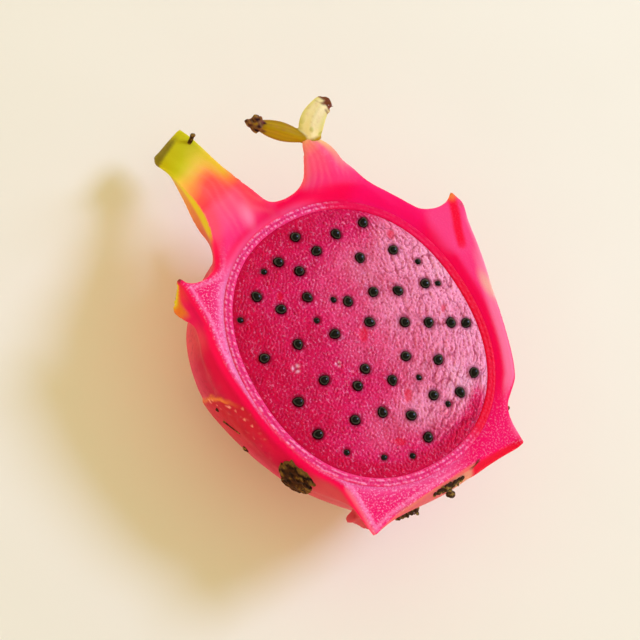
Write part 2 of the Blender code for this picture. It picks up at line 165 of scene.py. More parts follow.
# A scale lies at an angle round the body, from the right side under it, with its root at a y.
Scale = namedtuple("Scale", "angle root length width lift")
SKIN_SCALES = {
    "stem_scale_right": Scale(angle=38, root=-33, length=26, width=11, lift=5),
    "stem_scale_under": Scale(angle=88, root=-32, length=26, width=12, lift=2),
    "stem_scale_left": Scale(angle=134, root=-34, length=22, width=10, lift=0.8),
    "side_scale_right": Scale(angle=56, root=-8, length=28, width=11, lift=6),
    "back_scale": Scale(angle=108, root=-8, length=28, width=11, lift=3.5),
    "shoulder_scale_left": Scale(angle=132, root=-4, length=22, width=10, lift=2),
    "shoulder_scale_right": Scale(angle=36, root=2, length=24, width=10, lift=5),
}

LOW_BRACTS = {
    "low_bract_right": Leaf(
        path=[(10, 20, -26), (15, 30, -26), (18, 36, -28), (19.5, 41.5, -30)],
        facing=(0.45, 0.2, -0.85), right=(11, 10, 7, 4.5, 1), droop=(20, 20), thick=(5, 1.6),
        blend=(5, 0.8)),
    "low_bract_left": Leaf(
        path=[(-6, 18, -26), (-4, 32, -22), (-2.5, 41, -21), (-1.5, 48, -22)],
        facing=(-0.1, 0.3, -0.9), right=(11, 9, 6.5, 4.5, 1.0), droop=(20, 20), thick=(5.5, 1.6),
        blend=(5, 0.8)),
    "low_bract_middle": Leaf(
        path=[(3, 28, -14), (3, 35, -15), (2, 40, -16.5), (1, 43, -18.5)],
        facing=(0, 0.5, -0.85), right=(9, 8, 6, 4, 1), droop=(25, 25), thick=(5, 1.6),
        blend=(5, 0.8)),
}


# ---------------------------------------------------------------- fields

def smooth_min(a, b, width):
    """The lesser of two distances, rounded where they meet over about width."""
    near = np.clip(0.5 + 0.5 * (b - a) / width, 0.0, 1.0)
    return b + (a - b) * near - width * near * (1.0 - near)


def smooth_max(a, b, width):
    return -smooth_min(-a, -b, width)


def step(low, high, value):
    """0 below low, 1 above high, and a smooth rise between."""
    t = np.clip((value - low) / (high - low), 0.0, 1.0)
    return t * t * (3.0 - 2.0 * t)


def waves(places, length, seed, count=7):
    """Smooth unevenness of about the given wavelength, between about -1 and 1."""
    chance = np.random.default_rng(seed)
    total = np.zeros(places.shape[0])
    for _ in range(count):
        way = chance.normal(size=3)
        way *= 2 * math.pi / (length * chance.uniform(0.7, 1.5) * np.linalg.norm(way))
        total += np.sin(places @ way + chance.uniform(0, 2 * math.pi))
    return total / math.sqrt(count)


def oval_field(places, centre, radii, fullness=2.0):
    """Distance to an oval, squared in plan when its fullness is above 2."""
    p = (places - centre) / radii
    plan = (np.abs(p[:, 0]) ** fullness + np.abs(p[:, 1]) ** fullness) ** (1 / fullness)
    level = np.sqrt(plan**2 + p[:, 2] ** 2)
    slope = np.linalg.norm(p / radii, axis=1)
    return level * (level - 1.0) / np.maximum(slope, 1e-6)


def flesh_gap(places):
    """How far out from the flesh's edge in the cut face a place is, seen from above."""
    across, along = ((places[:, :2] - FLESH_CENTRE[:2]) / CUT_RADII).T
    level = (np.abs(across) ** FULLNESS + np.abs(along) ** FULLNESS) ** (1 / FULLNESS)
    slope = np.hypot(across / CUT_RADII[0], along / CUT_RADII[1])
    return level * (level - 1.0) / np.maximum(slope, 1e-6)


def plumpness(cos, sin):
    """How far out the edge of a squared oval is at an angle, against a round one."""
    return (np.abs(cos) ** FULLNESS + np.abs(sin) ** FULLNESS) ** (-1 / FULLNESS)


def from_segment(places, a, b):
    """How far places are from a segment, and which share of it is nearest to each."""
    a = np.array(a, float)
    way = np.array(b, float) - a
    share = np.clip((places - a) @ way / (way @ way), 0.0, 1.0)
    return np.linalg.norm(places - a - share[:, None] * way, axis=1), share


def spline(points, per_run=8):
    """A smooth line through points, as more points."""
    points = np.array(points, float)
    ends = np.vstack([2 * points[0] - points[1], points, 2 * points[-1] - points[-2]])
    t = np.linspace(0, 1, per_run, endpoint=False)[:, None]
    runs = []
    for k in range(1, len(ends) - 2):
        a, b, c, d = ends[k - 1:k + 3]
        runs.append(0.5 * (2 * b + (c - a) * t + (2 * a - 5 * b + 4 * c - d) * t**2
                           + (3 * b - a - 3 * c + d) * t**3))
    return np.vstack(runs)


class Outline:
    """A closed line, and how far a place is outside it, read from a table."""

    PITCH = 0.25
    MARGIN = 16.0

    def __init__(self, *runs):
        start = np.vstack([spline(run) for run in runs])
        end = np.roll(start, -1, axis=0)
        self.low = start.min(axis=0) - self.MARGIN
        count = ((start.max(axis=0) + self.MARGIN - self.low) / self.PITCH).astype(int) + 2
        steps = [low + self.PITCH * np.arange(size) for low, size in zip(self.low, count)]
        x, y = np.meshgrid(*steps, indexing="ij")
        best = np.full(x.shape, 1e9)
        within = np.zeros(x.shape, dtype=bool)
        for (ax, ay), (bx, by) in zip(start, end):
            dx, dy = bx - ax, by - ay
            share = np.clip(((x - ax) * dx + (y - ay) * dy) / (dx * dx + dy * dy), 0.0, 1.0)
            gap = (x - ax - share * dx) ** 2 + (y - ay - share * dy) ** 2
            np.minimum(best, gap, out=best)
            if ay != by:
                crosses = (ay > y) != (by > y)
                within ^= crosses & (x < ax + (y - ay) * dx / dy)
        self.table = np.where(within, -1.0, 1.0) * np.sqrt(best)

    def far(self, x, y):
        """Signed distance for matching arrays x and y, less than nothing inside."""
        u = np.clip((x - self.low[0]) / self.PITCH, 0, self.table.shape[0] - 1.001)
        v = np.clip((y - self.low[1]) / self.PITCH, 0, self.table.shape[1] - 1.001)
        i, j = u.astype(int), v.astype(int)
        u, v = u - i, v - j
        near = self.table[i, j] * (1 - u) + self.table[i + 1, j] * u
        far = self.table[i, j + 1] * (1 - u) + self.table[i + 1, j + 1] * u
        return near * (1 - v) + far * v


class Keel:
    """A leaf's Bezier keel, sampled, with the way along it, out of it and to its right."""

    COUNT = 48
    CHUNK = 200000

    def __init__(self, leaf):
        self.leaf = leaf
        t = np.linspace(0.0, 1.0, self.COUNT)[:, None]
        a, b, c, d = (np.array(point, float) for point in leaf.path)
        s = 1.0 - t
        self.t = t[:, 0]
        self.place = a * s**3 + b * 3 * s * s * t + c * 3 * s * t * t + d * t**3
        heading = (b - a) * s * s + (c - b) * 2 * s * t + (d - c) * t * t
        self.speed = 3 * np.linalg.norm(heading, axis=1)
        self.heading = heading / np.linalg.norm(heading, axis=1)[:, None]
        facing = np.array(leaf.facing, float)
        out = facing - self.heading * (self.heading @ facing)[:, None]
        self.out = out / np.linalg.norm(out, axis=1)[:, None]
        self.side = np.cross(self.heading, self.out)
        self.wings = ((1.0, leaf.right, leaf.droop[0]), (-1.0, leaf.left or leaf.right, leaf.droop[1]))
        reach = max(max(widths) for _, widths, _ in self.wings) * 1.05 + leaf.thick[0] + leaf.blend[0]
        self.low = self.place.min(axis=0) - reach
        self.high = self.place.max(axis=0) + reach

    def near(self, places):
        return np.flatnonzero(((places > self.low) & (places < self.high)).all(axis=1))

    def width(self, values, t):
        """Wing width at t, through those given at equal steps."""
        rows = spline(np.stack([np.linspace(0, 1, len(values)), values], axis=1), 10)
        return np.interp(t, np.append(rows[:, 0], 1.0), np.append(rows[:, 1], values[-1]))

    def local(self, places):
        """For each place: how far along the keel its nearest point is, and the place seen from there."""
        nearest = np.empty(places.shape[0], dtype=int)
        size = (self.place**2).sum(axis=1)
        for first in range(0, places.shape[0], self.CHUNK):
            part = slice(first, first + self.CHUNK)
            nearest[part] = (size - 2 * places[part] @ self.place.T).argmin(axis=1)
        offset = places - self.place[nearest]
        along = (offset * self.heading[nearest]).sum(axis=1) / self.speed[nearest]
        t = np.clip(self.t[nearest] + along, 0.0, 1.0)
        at = np.stack([np.interp(t, self.t, self.place[:, k]) for k in range(3)], axis=1)
        offset = places - at
        parts = []
        for table in (self.side, self.out, self.heading):
            way = np.stack([np.interp(t, self.t, table[:, k]) for k in range(3)], axis=1)
            parts.append((offset * way).sum(axis=1))
        return t, *parts

    def field(self, places):
        """Distance to the leaf, how far along it the place is, and how far out on its wing, signed."""
        leaf = self.leaf
        t, u, v, s = self.local(places)
        s = np.where((t <= 0.0) | (t >= 1.0), s, 0.0)
        keel_half = 0.5 * (leaf.thick[0] + (leaf.thick[1] - leaf.thick[0]) * t)
        best = None
        for sign, widths, droop in self.wings:
            angle = math.radians(droop)
            margin_half = 0.38 * keel_half
            width = np.maximum(self.width(widths, t) - margin_half, 0.2)
            lifted = v - leaf.cup * (np.clip(sign * u, 0.0, None) ** 2) / width
            way_u = sign * math.cos(angle)
            way_v = -math.sin(angle)
            along = np.clip(u * way_u + lifted * way_v, 0.0, width)
            gap = np.sqrt((u - along * way_u) ** 2 + (lifted - along * way_v) ** 2 + s * s)
            share = along / width
            half = keel_half * (1.0 - 0.62 * share**1.4)
            distance = gap - half
            if best is None:
                best, across = distance, sign * share
            else:
                across = np.where(distance < best, sign * share, across)
                best = smooth_min(best, distance, 0.8)
        return best, t, across

    def blend(self, t):
        root, tip = self.leaf.blend
        return root + (tip - root) * step(0.0, 0.8, t)


def join(field, places, keels):
    """Adds leaves to a field at the places near them."""
    for keel in keels:
        near = keel.near(places)
        if near.size:
            distance, t, _ = keel.field(places[near])
            field[near] = smooth_min(field[near], distance, keel.blend(t))
    return field


def body_field(places):
    """Distance to the body without its leaves."""
    cheek = oval_field(places, CHEEK_CENTRE, CHEEK_RADII)
    return smooth_min(oval_field(places, BODY_CENTRE, BODY_RADII), cheek, 6.0)


def skin_place(angle, y, lift):
    """A place on the round of the body, and the way out of it."""
    turn = math.radians(angle)
    reach = np.linspace(5.0, 50.0, 901)
    ray = np.array((math.cos(turn), 0.0, -math.sin(turn)))
    start = np.array((0.0, np.clip(y, -39.0, 36.0), BODY_CENTRE[2]))
    values = body_field(start + reach[:, None] * ray)
    place = start + reach[np.flatnonzero(values < 0.0)[-1]] * ray
    near = np.vstack([place, place + 0.1 * np.eye(3)])
    values = body_field(near)
    way = (values[1:] - values[0]) / np.linalg.norm(values[1:] - values[0])
    place[1] = y
    return place + way * lift, way


def skin_leaf(scale):
    """A scale that hugs the body, rooted in it, with its tip lifted clear."""
    tip = scale.lift
    stops = [(0.0, -2.0), (0.4, -0.8 + 0.3 * tip), (0.75, -0.4 + 0.5 * tip), (1.0, tip - 0.2)]
    path = [skin_place(scale.angle, scale.root + part * scale.length, lift)[0] for part, lift in stops]
    facing = skin_place(scale.angle, scale.root + 0.5 * scale.length, 0)[1]
    widths = tuple(scale.width * part for part in (0.9, 0.97, 0.9, 0.6, 0.1))
    return Leaf(path=path, facing=facing, right=widths, droop=(24, 24), thick=(4, 1.3), blend=(4, 0.4))


class Grid:
    """A box of sample points for a field, in mm."""

    COARSE = 4

    def __init__(self, low, high, pitch):
        self.pitch = pitch
        self.low = np.array(low, float)
        blocks = np.ceil((np.array(high) - self.low) / (pitch * self.COARSE)).astype(int)
        self.shape = tuple(blocks * self.COARSE + 1)

    def places(self, cells, pitch):
        return self.low + pitch * cells

    def widened(self, block):
        """Each value of a coarse block, repeated for the fine cells in it."""
        for axis in range(3):
            block = np.repeat(block, self.COARSE, axis)
        return block

    def sample(self, function):
        """The field at each sample point, worked out only near the surface."""
        rough = [(size - 1) // self.COARSE + 1 for size in self.shape]
        cells = np.stack(np.meshgrid(*[np.arange(size) for size in rough], indexing="ij"), axis=-1)
        pitch = self.pitch * self.COARSE
        coarse = function(self.places(cells.reshape(-1, 3), pitch)).reshape(rough)
        near = np.abs(coarse) < 1.5 * pitch
        busy = np.zeros([size - 1 for size in rough], dtype=bool)
        for i, j, k in CORNERS:
            busy |= near[i:i + busy.shape[0], j:j + busy.shape[1], k:k + busy.shape[2]]
        field = self.widened(coarse)[:self.shape[0], :self.shape[1], :self.shape[2]].copy()
        fine = np.zeros(self.shape, dtype=bool)
        block = self.widened(busy)
        for i, j, k in CORNERS:
            fine[i:i + block.shape[0], j:j + block.shape[1], k:k + block.shape[2]] |= block
        cells = np.argwhere(fine)
        field[tuple(cells.T)] = function(self.places(cells, self.pitch))
        return field


CORNERS = np.array([(i, j, k) for i in (0, 1) for j in (0, 1) for k in (0, 1)])
EDGES = [(a, b) for a in range(8) for b in range(a + 1, 8)
         if np.abs(CORNERS[a] - CORNERS[b]).sum() == 1]


def surface_net(grid, field):
    """Turns a sampled field into a closed mesh of four-sided faces, one vertex in each cell it crosses."""
    inside = field < 0.0
    n = [size - 1 for size in field.shape]
    count = np.zeros(n, dtype=np.int8)
    for i, j, k in CORNERS:
        count += inside[i:i + n[0], j:j + n[1], k:k + n[2]]
    cells = np.argwhere((count > 0) & (count < 8))
    number = -np.ones(n, dtype=np.int64)
    number[tuple(cells.T)] = np.arange(len(cells))
    values = np.stack([field[tuple((cells + corner).T)] for corner in CORNERS], axis=1)
    total = np.zeros((len(cells), 3))
    hits = np.zeros(len(cells))
    for a, b in EDGES:
        crossed = (values[:, a] < 0.0) != (values[:, b] < 0.0)
        share = values[:, a] / np.where(crossed, values[:, a] - values[:, b], 1.0)
        point = CORNERS[a] + share[:, None] * (CORNERS[b] - CORNERS[a])
        total += np.where(crossed[:, None], point, 0.0)
        hits += crossed
    vertices = grid.low + grid.pitch * (cells + total / hits[:, None])
    faces = []
    for axis in range(3):
        one, two = [k for k in range(3) if k != axis]
        near = [slice(None)] * 3
        far = [slice(None)] * 3
        near[axis] = slice(0, -1)
        far[axis] = slice(1, None)
        start = inside[tuple(near)]
        crossings = np.argwhere(start != inside[tuple(far)])
        keep = (crossings[:, one] > 0) & (crossings[:, two] > 0)
        keep &= (crossings[:, one] < field.shape[one] - 1) & (crossings[:, two] < field.shape[two] - 1)
        crossings = crossings[keep]
        outward = start[tuple(crossings.T)]
        corners = []
        for d_one, d_two in ((0, 0), (-1, 0), (-1, -1), (0, -1)):
            cell = crossings.copy()
            cell[:, one] += d_one
            cell[:, two] += d_two
            corners.append(number[tuple(cell.T)])
        quads = np.stack(corners, axis=1)
        flip = outward if axis != 1 else ~outward
        quads[~flip] = quads[~flip][:, ::-1]
        faces.append(quads)
    return vertices, np.concatenate(faces)


def settle(vertices, function, pitch, rounds=2):
    """Moves vertices onto the surface of a field."""
    for _ in range(rounds):
        here = function(vertices)
        slope = np.empty_like(vertices)
        for k in range(3):
            probe = vertices.copy()
            probe[:, k] += 0.1
            slope[:, k] = (function(probe) - here) / 0.1
        size = np.maximum((slope**2).sum(axis=1), 0.3)
        move = -here[:, None] * slope / size[:, None]
        far = np.linalg.norm(move, axis=1)
        move *= np.minimum(1.0, 0.5 * pitch / np.maximum(far, 1e-9))[:, None]
        vertices = vertices + move
    return vertices


def add_object(name, data):
    thing = bpy.data.objects.new(name, data)
    bpy.context.scene.collection.objects.link(thing)
    return thing


def new_mesh(name, vertices, faces):
    """A smooth mesh object from places in mm and a list of faces."""
    mesh = bpy.data.meshes.new(name)
    places = vertices * MM
    places[:, 2] += RIM_HEIGHT
    mesh.from_pydata(places.tolist(), [], faces)
    mesh.shade_smooth()
    return add_object(name, mesh)


def field_mesh(name, function, low, high, pitch, settle_pitch):
    """The surface of a field within a box, as a mesh object."""
    grid = Grid(low, high, pitch)
    vertices, faces = surface_net(grid, grid.sample(function))
    return new_mesh(name, settle(vertices, function, settle_pitch), faces.tolist())


# ---------------------------------------------------------------- rind

FLANGE = Outline(CROWN, RIGHT, FLANGE_STEM, FLANGE_LEFT)
CUT = Outline(CROWN, RIGHT, CUT_STEM, CUT_LEFT)
SIDE = Outline(SIDE_SCALE)
SCAR = Outline(SCAR_EDGE)

# How the rind is shaped, in mm.
INNER_DIP = 0.6  # how far the cut face by the flesh lies below its border
BORDER_RISE = 0.22
FLANGE_DEPTH = 2.2
FLANGE_ROUND = 1.6
FLANGE_BLEND = 5.0
FLANGE_REACH = -26.0  # the flange is worked out above this
RIPPLE_LENGTH = 22.0
RIPPLE = 0.2
SIDE_SCALE_RISE = 0.45
RIM_ROUND = 0.7
BEVEL_WIDTH = 6.0
SHORE_DROP = 0.45  # a ceiling keeps the rind below the lip, and rises outward from its edge
SHORE_START = 1.9
SHORE_SLOPE = 0.4


def leftness(places):
    """1 on the side of the fruit where the cut face has a raised border, 0 on the other."""
    return step(-4.0, -16.0, places[:, 0] + 0.35 * places[:, 1])


def rim_top(places, edge):
    """Height of the rind's cut face: a low lip by the flesh, rising to its border."""
    top = -INNER_DIP * (1.0 - step(0.4, 4.2, flesh_gap(places)))
    return top + BORDER_RISE * np.exp(-((edge + 0.5) / 0.6) ** 2) * leftness(places)


def flange_field(places):
    """Distance to the flange that carries the teeth: flat on top, thicker toward the body."""
    far = FLANGE.far(places[:, 0], places[:, 1])
    depth = np.clip(-far, 0.0, None)
    below = (-FLANGE_DEPTH - 0.9 * depth - places[:, 2]) * 0.75
    return smooth_max(far, below, FLANGE_ROUND)


def side_scale(places):
    """1 on the broad scale of the left wall, 0 beyond its margin, fading to its root."""
    x, y, z = places.T
    within = step(0.35, -0.35, SIDE.far(y, z))
    return within * step(-22.0, -27.0, x) * step(-16.0, 0.0, y)


def unsagged(places):
    """Where each place was while the long strap was still level."""
    level = places.copy()
    near = np.flatnonzero((places[:, 1] > SAG_ALONG[0]) & (places[:, 0] < 20.0))
    if near.size:
        sagged = places[near]
        guess = sagged - SAG_DEPTH * step(*SAG_ALONG, sagged[:, 1])[:, None] * SAG_WAY
        for _ in range(8):
            depth = SAG_DEPTH * step(*SAG_ALONG, guess[:, 1]) * step(*SAG_ACROSS, guess[:, 0])
            guess = 0.4 * guess + 0.6 * (sagged - depth[:, None] * SAG_WAY)
        level[near] = guess
    return level


def rind_field(places):
    """Distance to the whole rind: body, flange and leaves, cut level, bevelled and hollowed."""
    field = body_field(places)
    field += RIPPLE * waves(places, RIPPLE_LENGTH, seed=3)
    field -= SIDE_SCALE_RISE * side_scale(places)
    level = unsagged(places)
    x, y, z = level.T
    near = np.flatnonzero(z > FLANGE_REACH)
    field[near] = smooth_min(field[near], flange_field(level[near]), FLANGE_BLEND)
    field = join(field, places, KEELS["below"])
    edge = CUT.far(x, y)
    top = z - rim_top(level, edge)
    field = smooth_max(field, top, RIM_ROUND)
    bevel = np.where(edge < BEVEL_WIDTH, 0.75 * edge + 0.66 * top, -9.0)
    field = smooth_max(field, bevel, 0.4 + 1.8 * step(0.5, 2.5, edge))
    field = join(field, level, KEELS["long"])
    beyond = np.clip(flesh_gap(level) - SHORE_START, 0.0, None)
    shore = z + SHORE_DROP - SHORE_SLOPE * beyond
    field = smooth_max(field, 0.9 * shore, 0.5)
    hollow = oval_field(places, FLESH_CENTRE, FLESH_RADII + FLESH_GAP, FULLNESS)
    field = smooth_max(field, -hollow, 0.5)
    return np.maximum(field, -RIM_MM - places[:, 2])


KEELS = {
    "below": [Keel(leaf) for leaf in (*CUT_LEAVES.values(), *LOW_BRACTS.values(),
                                      *map(skin_leaf, SKIN_SCALES.values()))],
    "long": [Keel(leaf) for leaf in LONG_BRACTS.values()],
    "curls": [Keel(leaf) for leaf in CURLS.values()],
}


def make_rind():
    return field_mesh("rind_skin", rind_field, (-42, -47, -RIM_MM - 1.5), (49, 74, 9), VOXEL, VOXEL)


def curl_field(places):
    """Distance to the dried curls, ragged at one end and charred to a knob at the other."""
    field = join(np.full(len(places), 9.0), places, KEELS["curls"])
    rough = waves(places, 1.3, seed=8)
    for centre, radius in KNOB:
        lump = np.linalg.norm(places - np.array(centre), axis=1) - radius + 0.25 * rough
        field = smooth_min(field, lump, 0.5)
    ragged = step(20.5, 22.5, places[:, 0])
    return field + ragged * 0.10 * (1.0 + rough)


def make_curls():
    return field_mesh("dry_curls", curl_field, (-1, 44, -1), (28, 63, 12), FINE_VOXEL, FINE_VOXEL)


def pale_side(places):
    """1 where the lip is beaded and painted pale, partly as highlights: everywhere but on the right."""
    x, y = places[:, 0], places[:, 1]
    ends = step(-4.0, 6.0, y) + step(-18.0, -26.0, y)
    return np.clip(step(16.0, 6.0, x) * ends + leftness(places), 0.0, 1.0)


# The lip's section, from under the flesh outward: how far out and how high.
LIP_SECTION = [
    (-0.5, -0.9), (-0.4, -0.5), (-0.15, -0.32), (0.1, -0.22), (0.35, -0.2), (0.6, -0.28), (0.78, -0.34),
    (0.96, -0.29), (1.2, -0.22), (1.45, -0.26), (1.7, -0.5), (1.8, -0.9), (0.9, -1.3),
]
LIP_SHOWN = range(2, 10)  # the places of the section that are beaded
LIP_FLAT = -0.36  # on the right, what stands above this is flattened
LIP_GROOVE = 0.78
LIP_CRESTS = (0.25, 1.3)
BEAD_LENGTH = 0.9


def make_lip():
    """The skin between rind and flesh: a thin ring with a groove in it, and beads along it."""
    count = 1200
    turn = np.linspace(0, 2 * math.pi, count, endpoint=False)
    cos, sin = np.cos(turn), np.sin(turn)
    plump = plumpness(cos, sin)
    line = FLESH_CENTRE[:2] + CUT_RADII * np.stack([cos * plump, sin * plump], axis=1)
    way = np.roll(line, -1, axis=0) - np.roll(line, 1, axis=0)
    way = np.stack([way[:, 1], -way[:, 0]], axis=1) / np.linalg.norm(way, axis=1)[:, None]
    rings = []
    for number, (out, height) in enumerate(LIP_SECTION):
        ring = np.concatenate([line + way * out, np.full((count, 1), height)], axis=1)
        if number in LIP_SHOWN:
            ring[:, 2] += 0.09 * waves(ring, BEAD_LENGTH, seed=40) + 0.04 * waves(ring, 2.5, seed=41)
            above = np.clip(ring[:, 2] - LIP_FLAT, 0.0, None)
            ring[:, 2] -= above * 0.85 * (1.0 - pale_side(ring))
        rings.append(ring)
    vertices = np.concatenate(rings)
    number = np.arange(len(vertices)).reshape(len(LIP_SECTION), count)
    beyond = np.roll(number, -1, axis=0)
    faces = np.stack([number, beyond, np.roll(beyond, -1, axis=1), np.roll(number, -1, axis=1)], axis=-1)
    return new_mesh("lip", vertices, faces.reshape(-1, 4)[:, ::-1].tolist())


def scar_field(places):
    """A corky patch that sits in the skin, flaked at its edge."""
    flakes = waves(places, 2.2, seed=61) + 0.6 * waves(places, 1.0, seed=62)
    skin = rind_field(places) - 0.6 - 0.25 * flakes
    side = SCAR.far(places[:, 1], places[:, 2]) + 0.35 * flakes
    inner = -rind_field(places) - 0.9
    return smooth_max(smooth_max(skin, side, 0.3), np.maximum(inner, places[:, 0] + 20.0), 0.2)


def make_scar():
    low, high = (-37, -28, -17), (-22, -13, 2.5)
    return field_mesh("corky_scar", scar_field, low, high, SCAR_VOXEL, FINE_VOXEL)


# Dry bits: two ends, their radii, and how rough each is.
Bit = namedtuple("Bit", "start end radii rough")
SPECKS = [
    Bit((-36.3, -0.1, -12.2), (-35.6, -4.8, -8.9), (0.32, 0.22), 0.05),
    Bit((-36.6, 3.1, -11.1), (-36.6, 2.9, -11.1), (0.5, 0.4), 0.1),
    Bit((-34.3, -7.8, -14.1), (-33.9, -8.6, -14.6), (0.6, 0.4), 0.15),
    Bit((24.2, -31.4, -2.2), (23.8, -33.0, -2.4), (0.55, 0.35), 0.15),
]
STALK = [
    Bit((-15.2, -41.5, -3.4), (-12.6, -41.5, -4.2), (0.35, 0.75), 0.3),
    Bit((-12.6, -41.5, -4.2), (-9.2, -41.8, -4.4), (0.75, 0.8), 0.4),
    Bit((-9.4, -41.8, -4.2), (-9.0, -42.9, -5.2), (0.6, 0.3), 0.2),
    Bit((-4.2, -40.9, -1.6), (-1.4, -41.0, -1.4), (0.6, 0.95), 0.3),
    Bit((-1.4, -41.0, -1.4), (4.1, -41.0, -1.5), (0.95, 0.5), 0.4),
    Bit((0.0, -41.2, -2.4), (0.7, -42.6, -4.6), (0.7, 0.8), 0.2),
    Bit((0.7, -42.6, -4.7), (1.2, -42.9, -5.0), (1.0, 0.9), 0.2),
    Bit((2.4, -41.0, -2.0), (3.0, -41.8, -3.2), (0.6, 0.3), 0.2),
]
STRAP_STUB = Bit((-2.0, 67.4, -19.0), (-1.4, 68.0, -18.9), (0.5, 0.6), 0.15)
STUB_ROOT = np.array((0.0, 0.0, -1.4))  # from the strap's surface to the stub's root


def bit_field(places, bit):
    gap, share = from_segment(places, bit.start, bit.end)
    near, far = bit.radii
    return gap - (near + (far - near) * share) + 0.5 * bit.rough * waves(places, 1.1, seed=71)


def onto_rind(*places):
    """The places on the rind's surface that are nearest to some given ones."""
    return settle(np.array(places, float), rind_field, 6.0, rounds=8)


def make_bits():
    """Specks that lie on the skin, the remains of the stalk and the strap's stub, one mesh."""
    specks = [Bit(*onto_rind(bit.start, bit.end), bit.radii, bit.rough) for bit in SPECKS]
    stub = STRAP_STUB._replace(start=onto_rind(STRAP_STUB.start)[0] + STUB_ROOT)
    vertices, faces = np.zeros((0, 3)), []
    for bit in (*specks, *STALK, stub):
        reach = max(bit.radii) + 0.8
        ends = np.array((bit.start, bit.end))
        grid = Grid(ends.min(axis=0) - reach, ends.max(axis=0) + reach, BIT_VOXEL)
        cells = np.argwhere(np.ones(grid.shape, bool))
        field = bit_field(grid.places(cells, grid.pitch), bit).reshape(grid.shape)
        places, quads = surface_net(grid, field)
        faces += (quads + len(vertices)).tolist()
        vertices = np.concatenate([vertices, places])
    return new_mesh("dry_bits", vertices, faces)


# ---------------------------------------------------------------- paint

def srgb(r, g, b):
    """Linear colour from eight-bit screen values."""
    return np.array([(c / 255) ** 2.2 for c in (r, g, b)])


def normals(thing):
    """Vertex normals of a mesh object."""
    flat = np.empty(len(thing.data.vertices) * 3)
    thing.data.vertex_normals.foreach_get("vector", flat)
    return flat.reshape(-1, 3)


def put(thing, name, values):
    """Writes a number, or a colour, onto each vertex."""
    if values.ndim == 1:
        layer = thing.data.attributes.new(name, "FLOAT", "POINT")
        layer.data.foreach_set("value", values.astype(np.float32))
    else:
        layer = thing.data.attributes.new(name, "FLOAT_COLOR", "POINT")
        full = np.concatenate([values, np.ones((len(values), 1))], axis=1)
        layer.data.foreach_set("color", full.astype(np.float32).ravel())


class Paint:
    """A colour for each of a mesh's vertices, laid on in coats."""

    def __init__(self, places, colour):
        self.places = places
        self.tint = np.tile(np.array(colour, float), (len(places), 1))

    def coat(self, mask, colour):
        mask = np.clip(mask, 0.0, 1.0)[:, None]
        self.tint = self.tint * (1.0 - mask) + np.array(colour) * mask

    def spot(self, centre, radii, colour, soft=0.8, strength=1.0):
        """Colour at a centre, fading out at an oval's edge."""
        level = np.linalg.norm((self.places - np.array(centre)) / np.array(radii), axis=1)
        self.coat((1.0 - step(1.0 - soft, 1.0, level)) * strength, colour)

    def line(self, points, half, fade, colour, mask=1.0):
        """Colour along a broken line, out to half its width, gone at fade."""
        gaps = [from_segment(self.places, a, b)[0] for a, b in zip(points[:-1], points[1:])]
        self.coat((1.0 - step(half, fade, np.min(gaps, axis=0))) * mask, colour)

    def finish(self, thing, frost_and_glints=0.0, wall=0.0):
        """Writes what rind_material reads: the colour, how frosted a place is, with its painted glints,
        and how much wall.
        """
        put(thing, "tint", self.tint)
        for name, values in (("frost_and_glints", frost_and_glints), ("wall", wall)):
            put(thing, name, values * np.ones(len(self.places)))


def ramp(t, stops):
    """Colour along t through stops, each a t and three screen values."""
    at, *screen = zip(*stops)
    return np.stack([np.interp(t, at, colour) for colour in srgb(*map(np.array, screen))], axis=1)


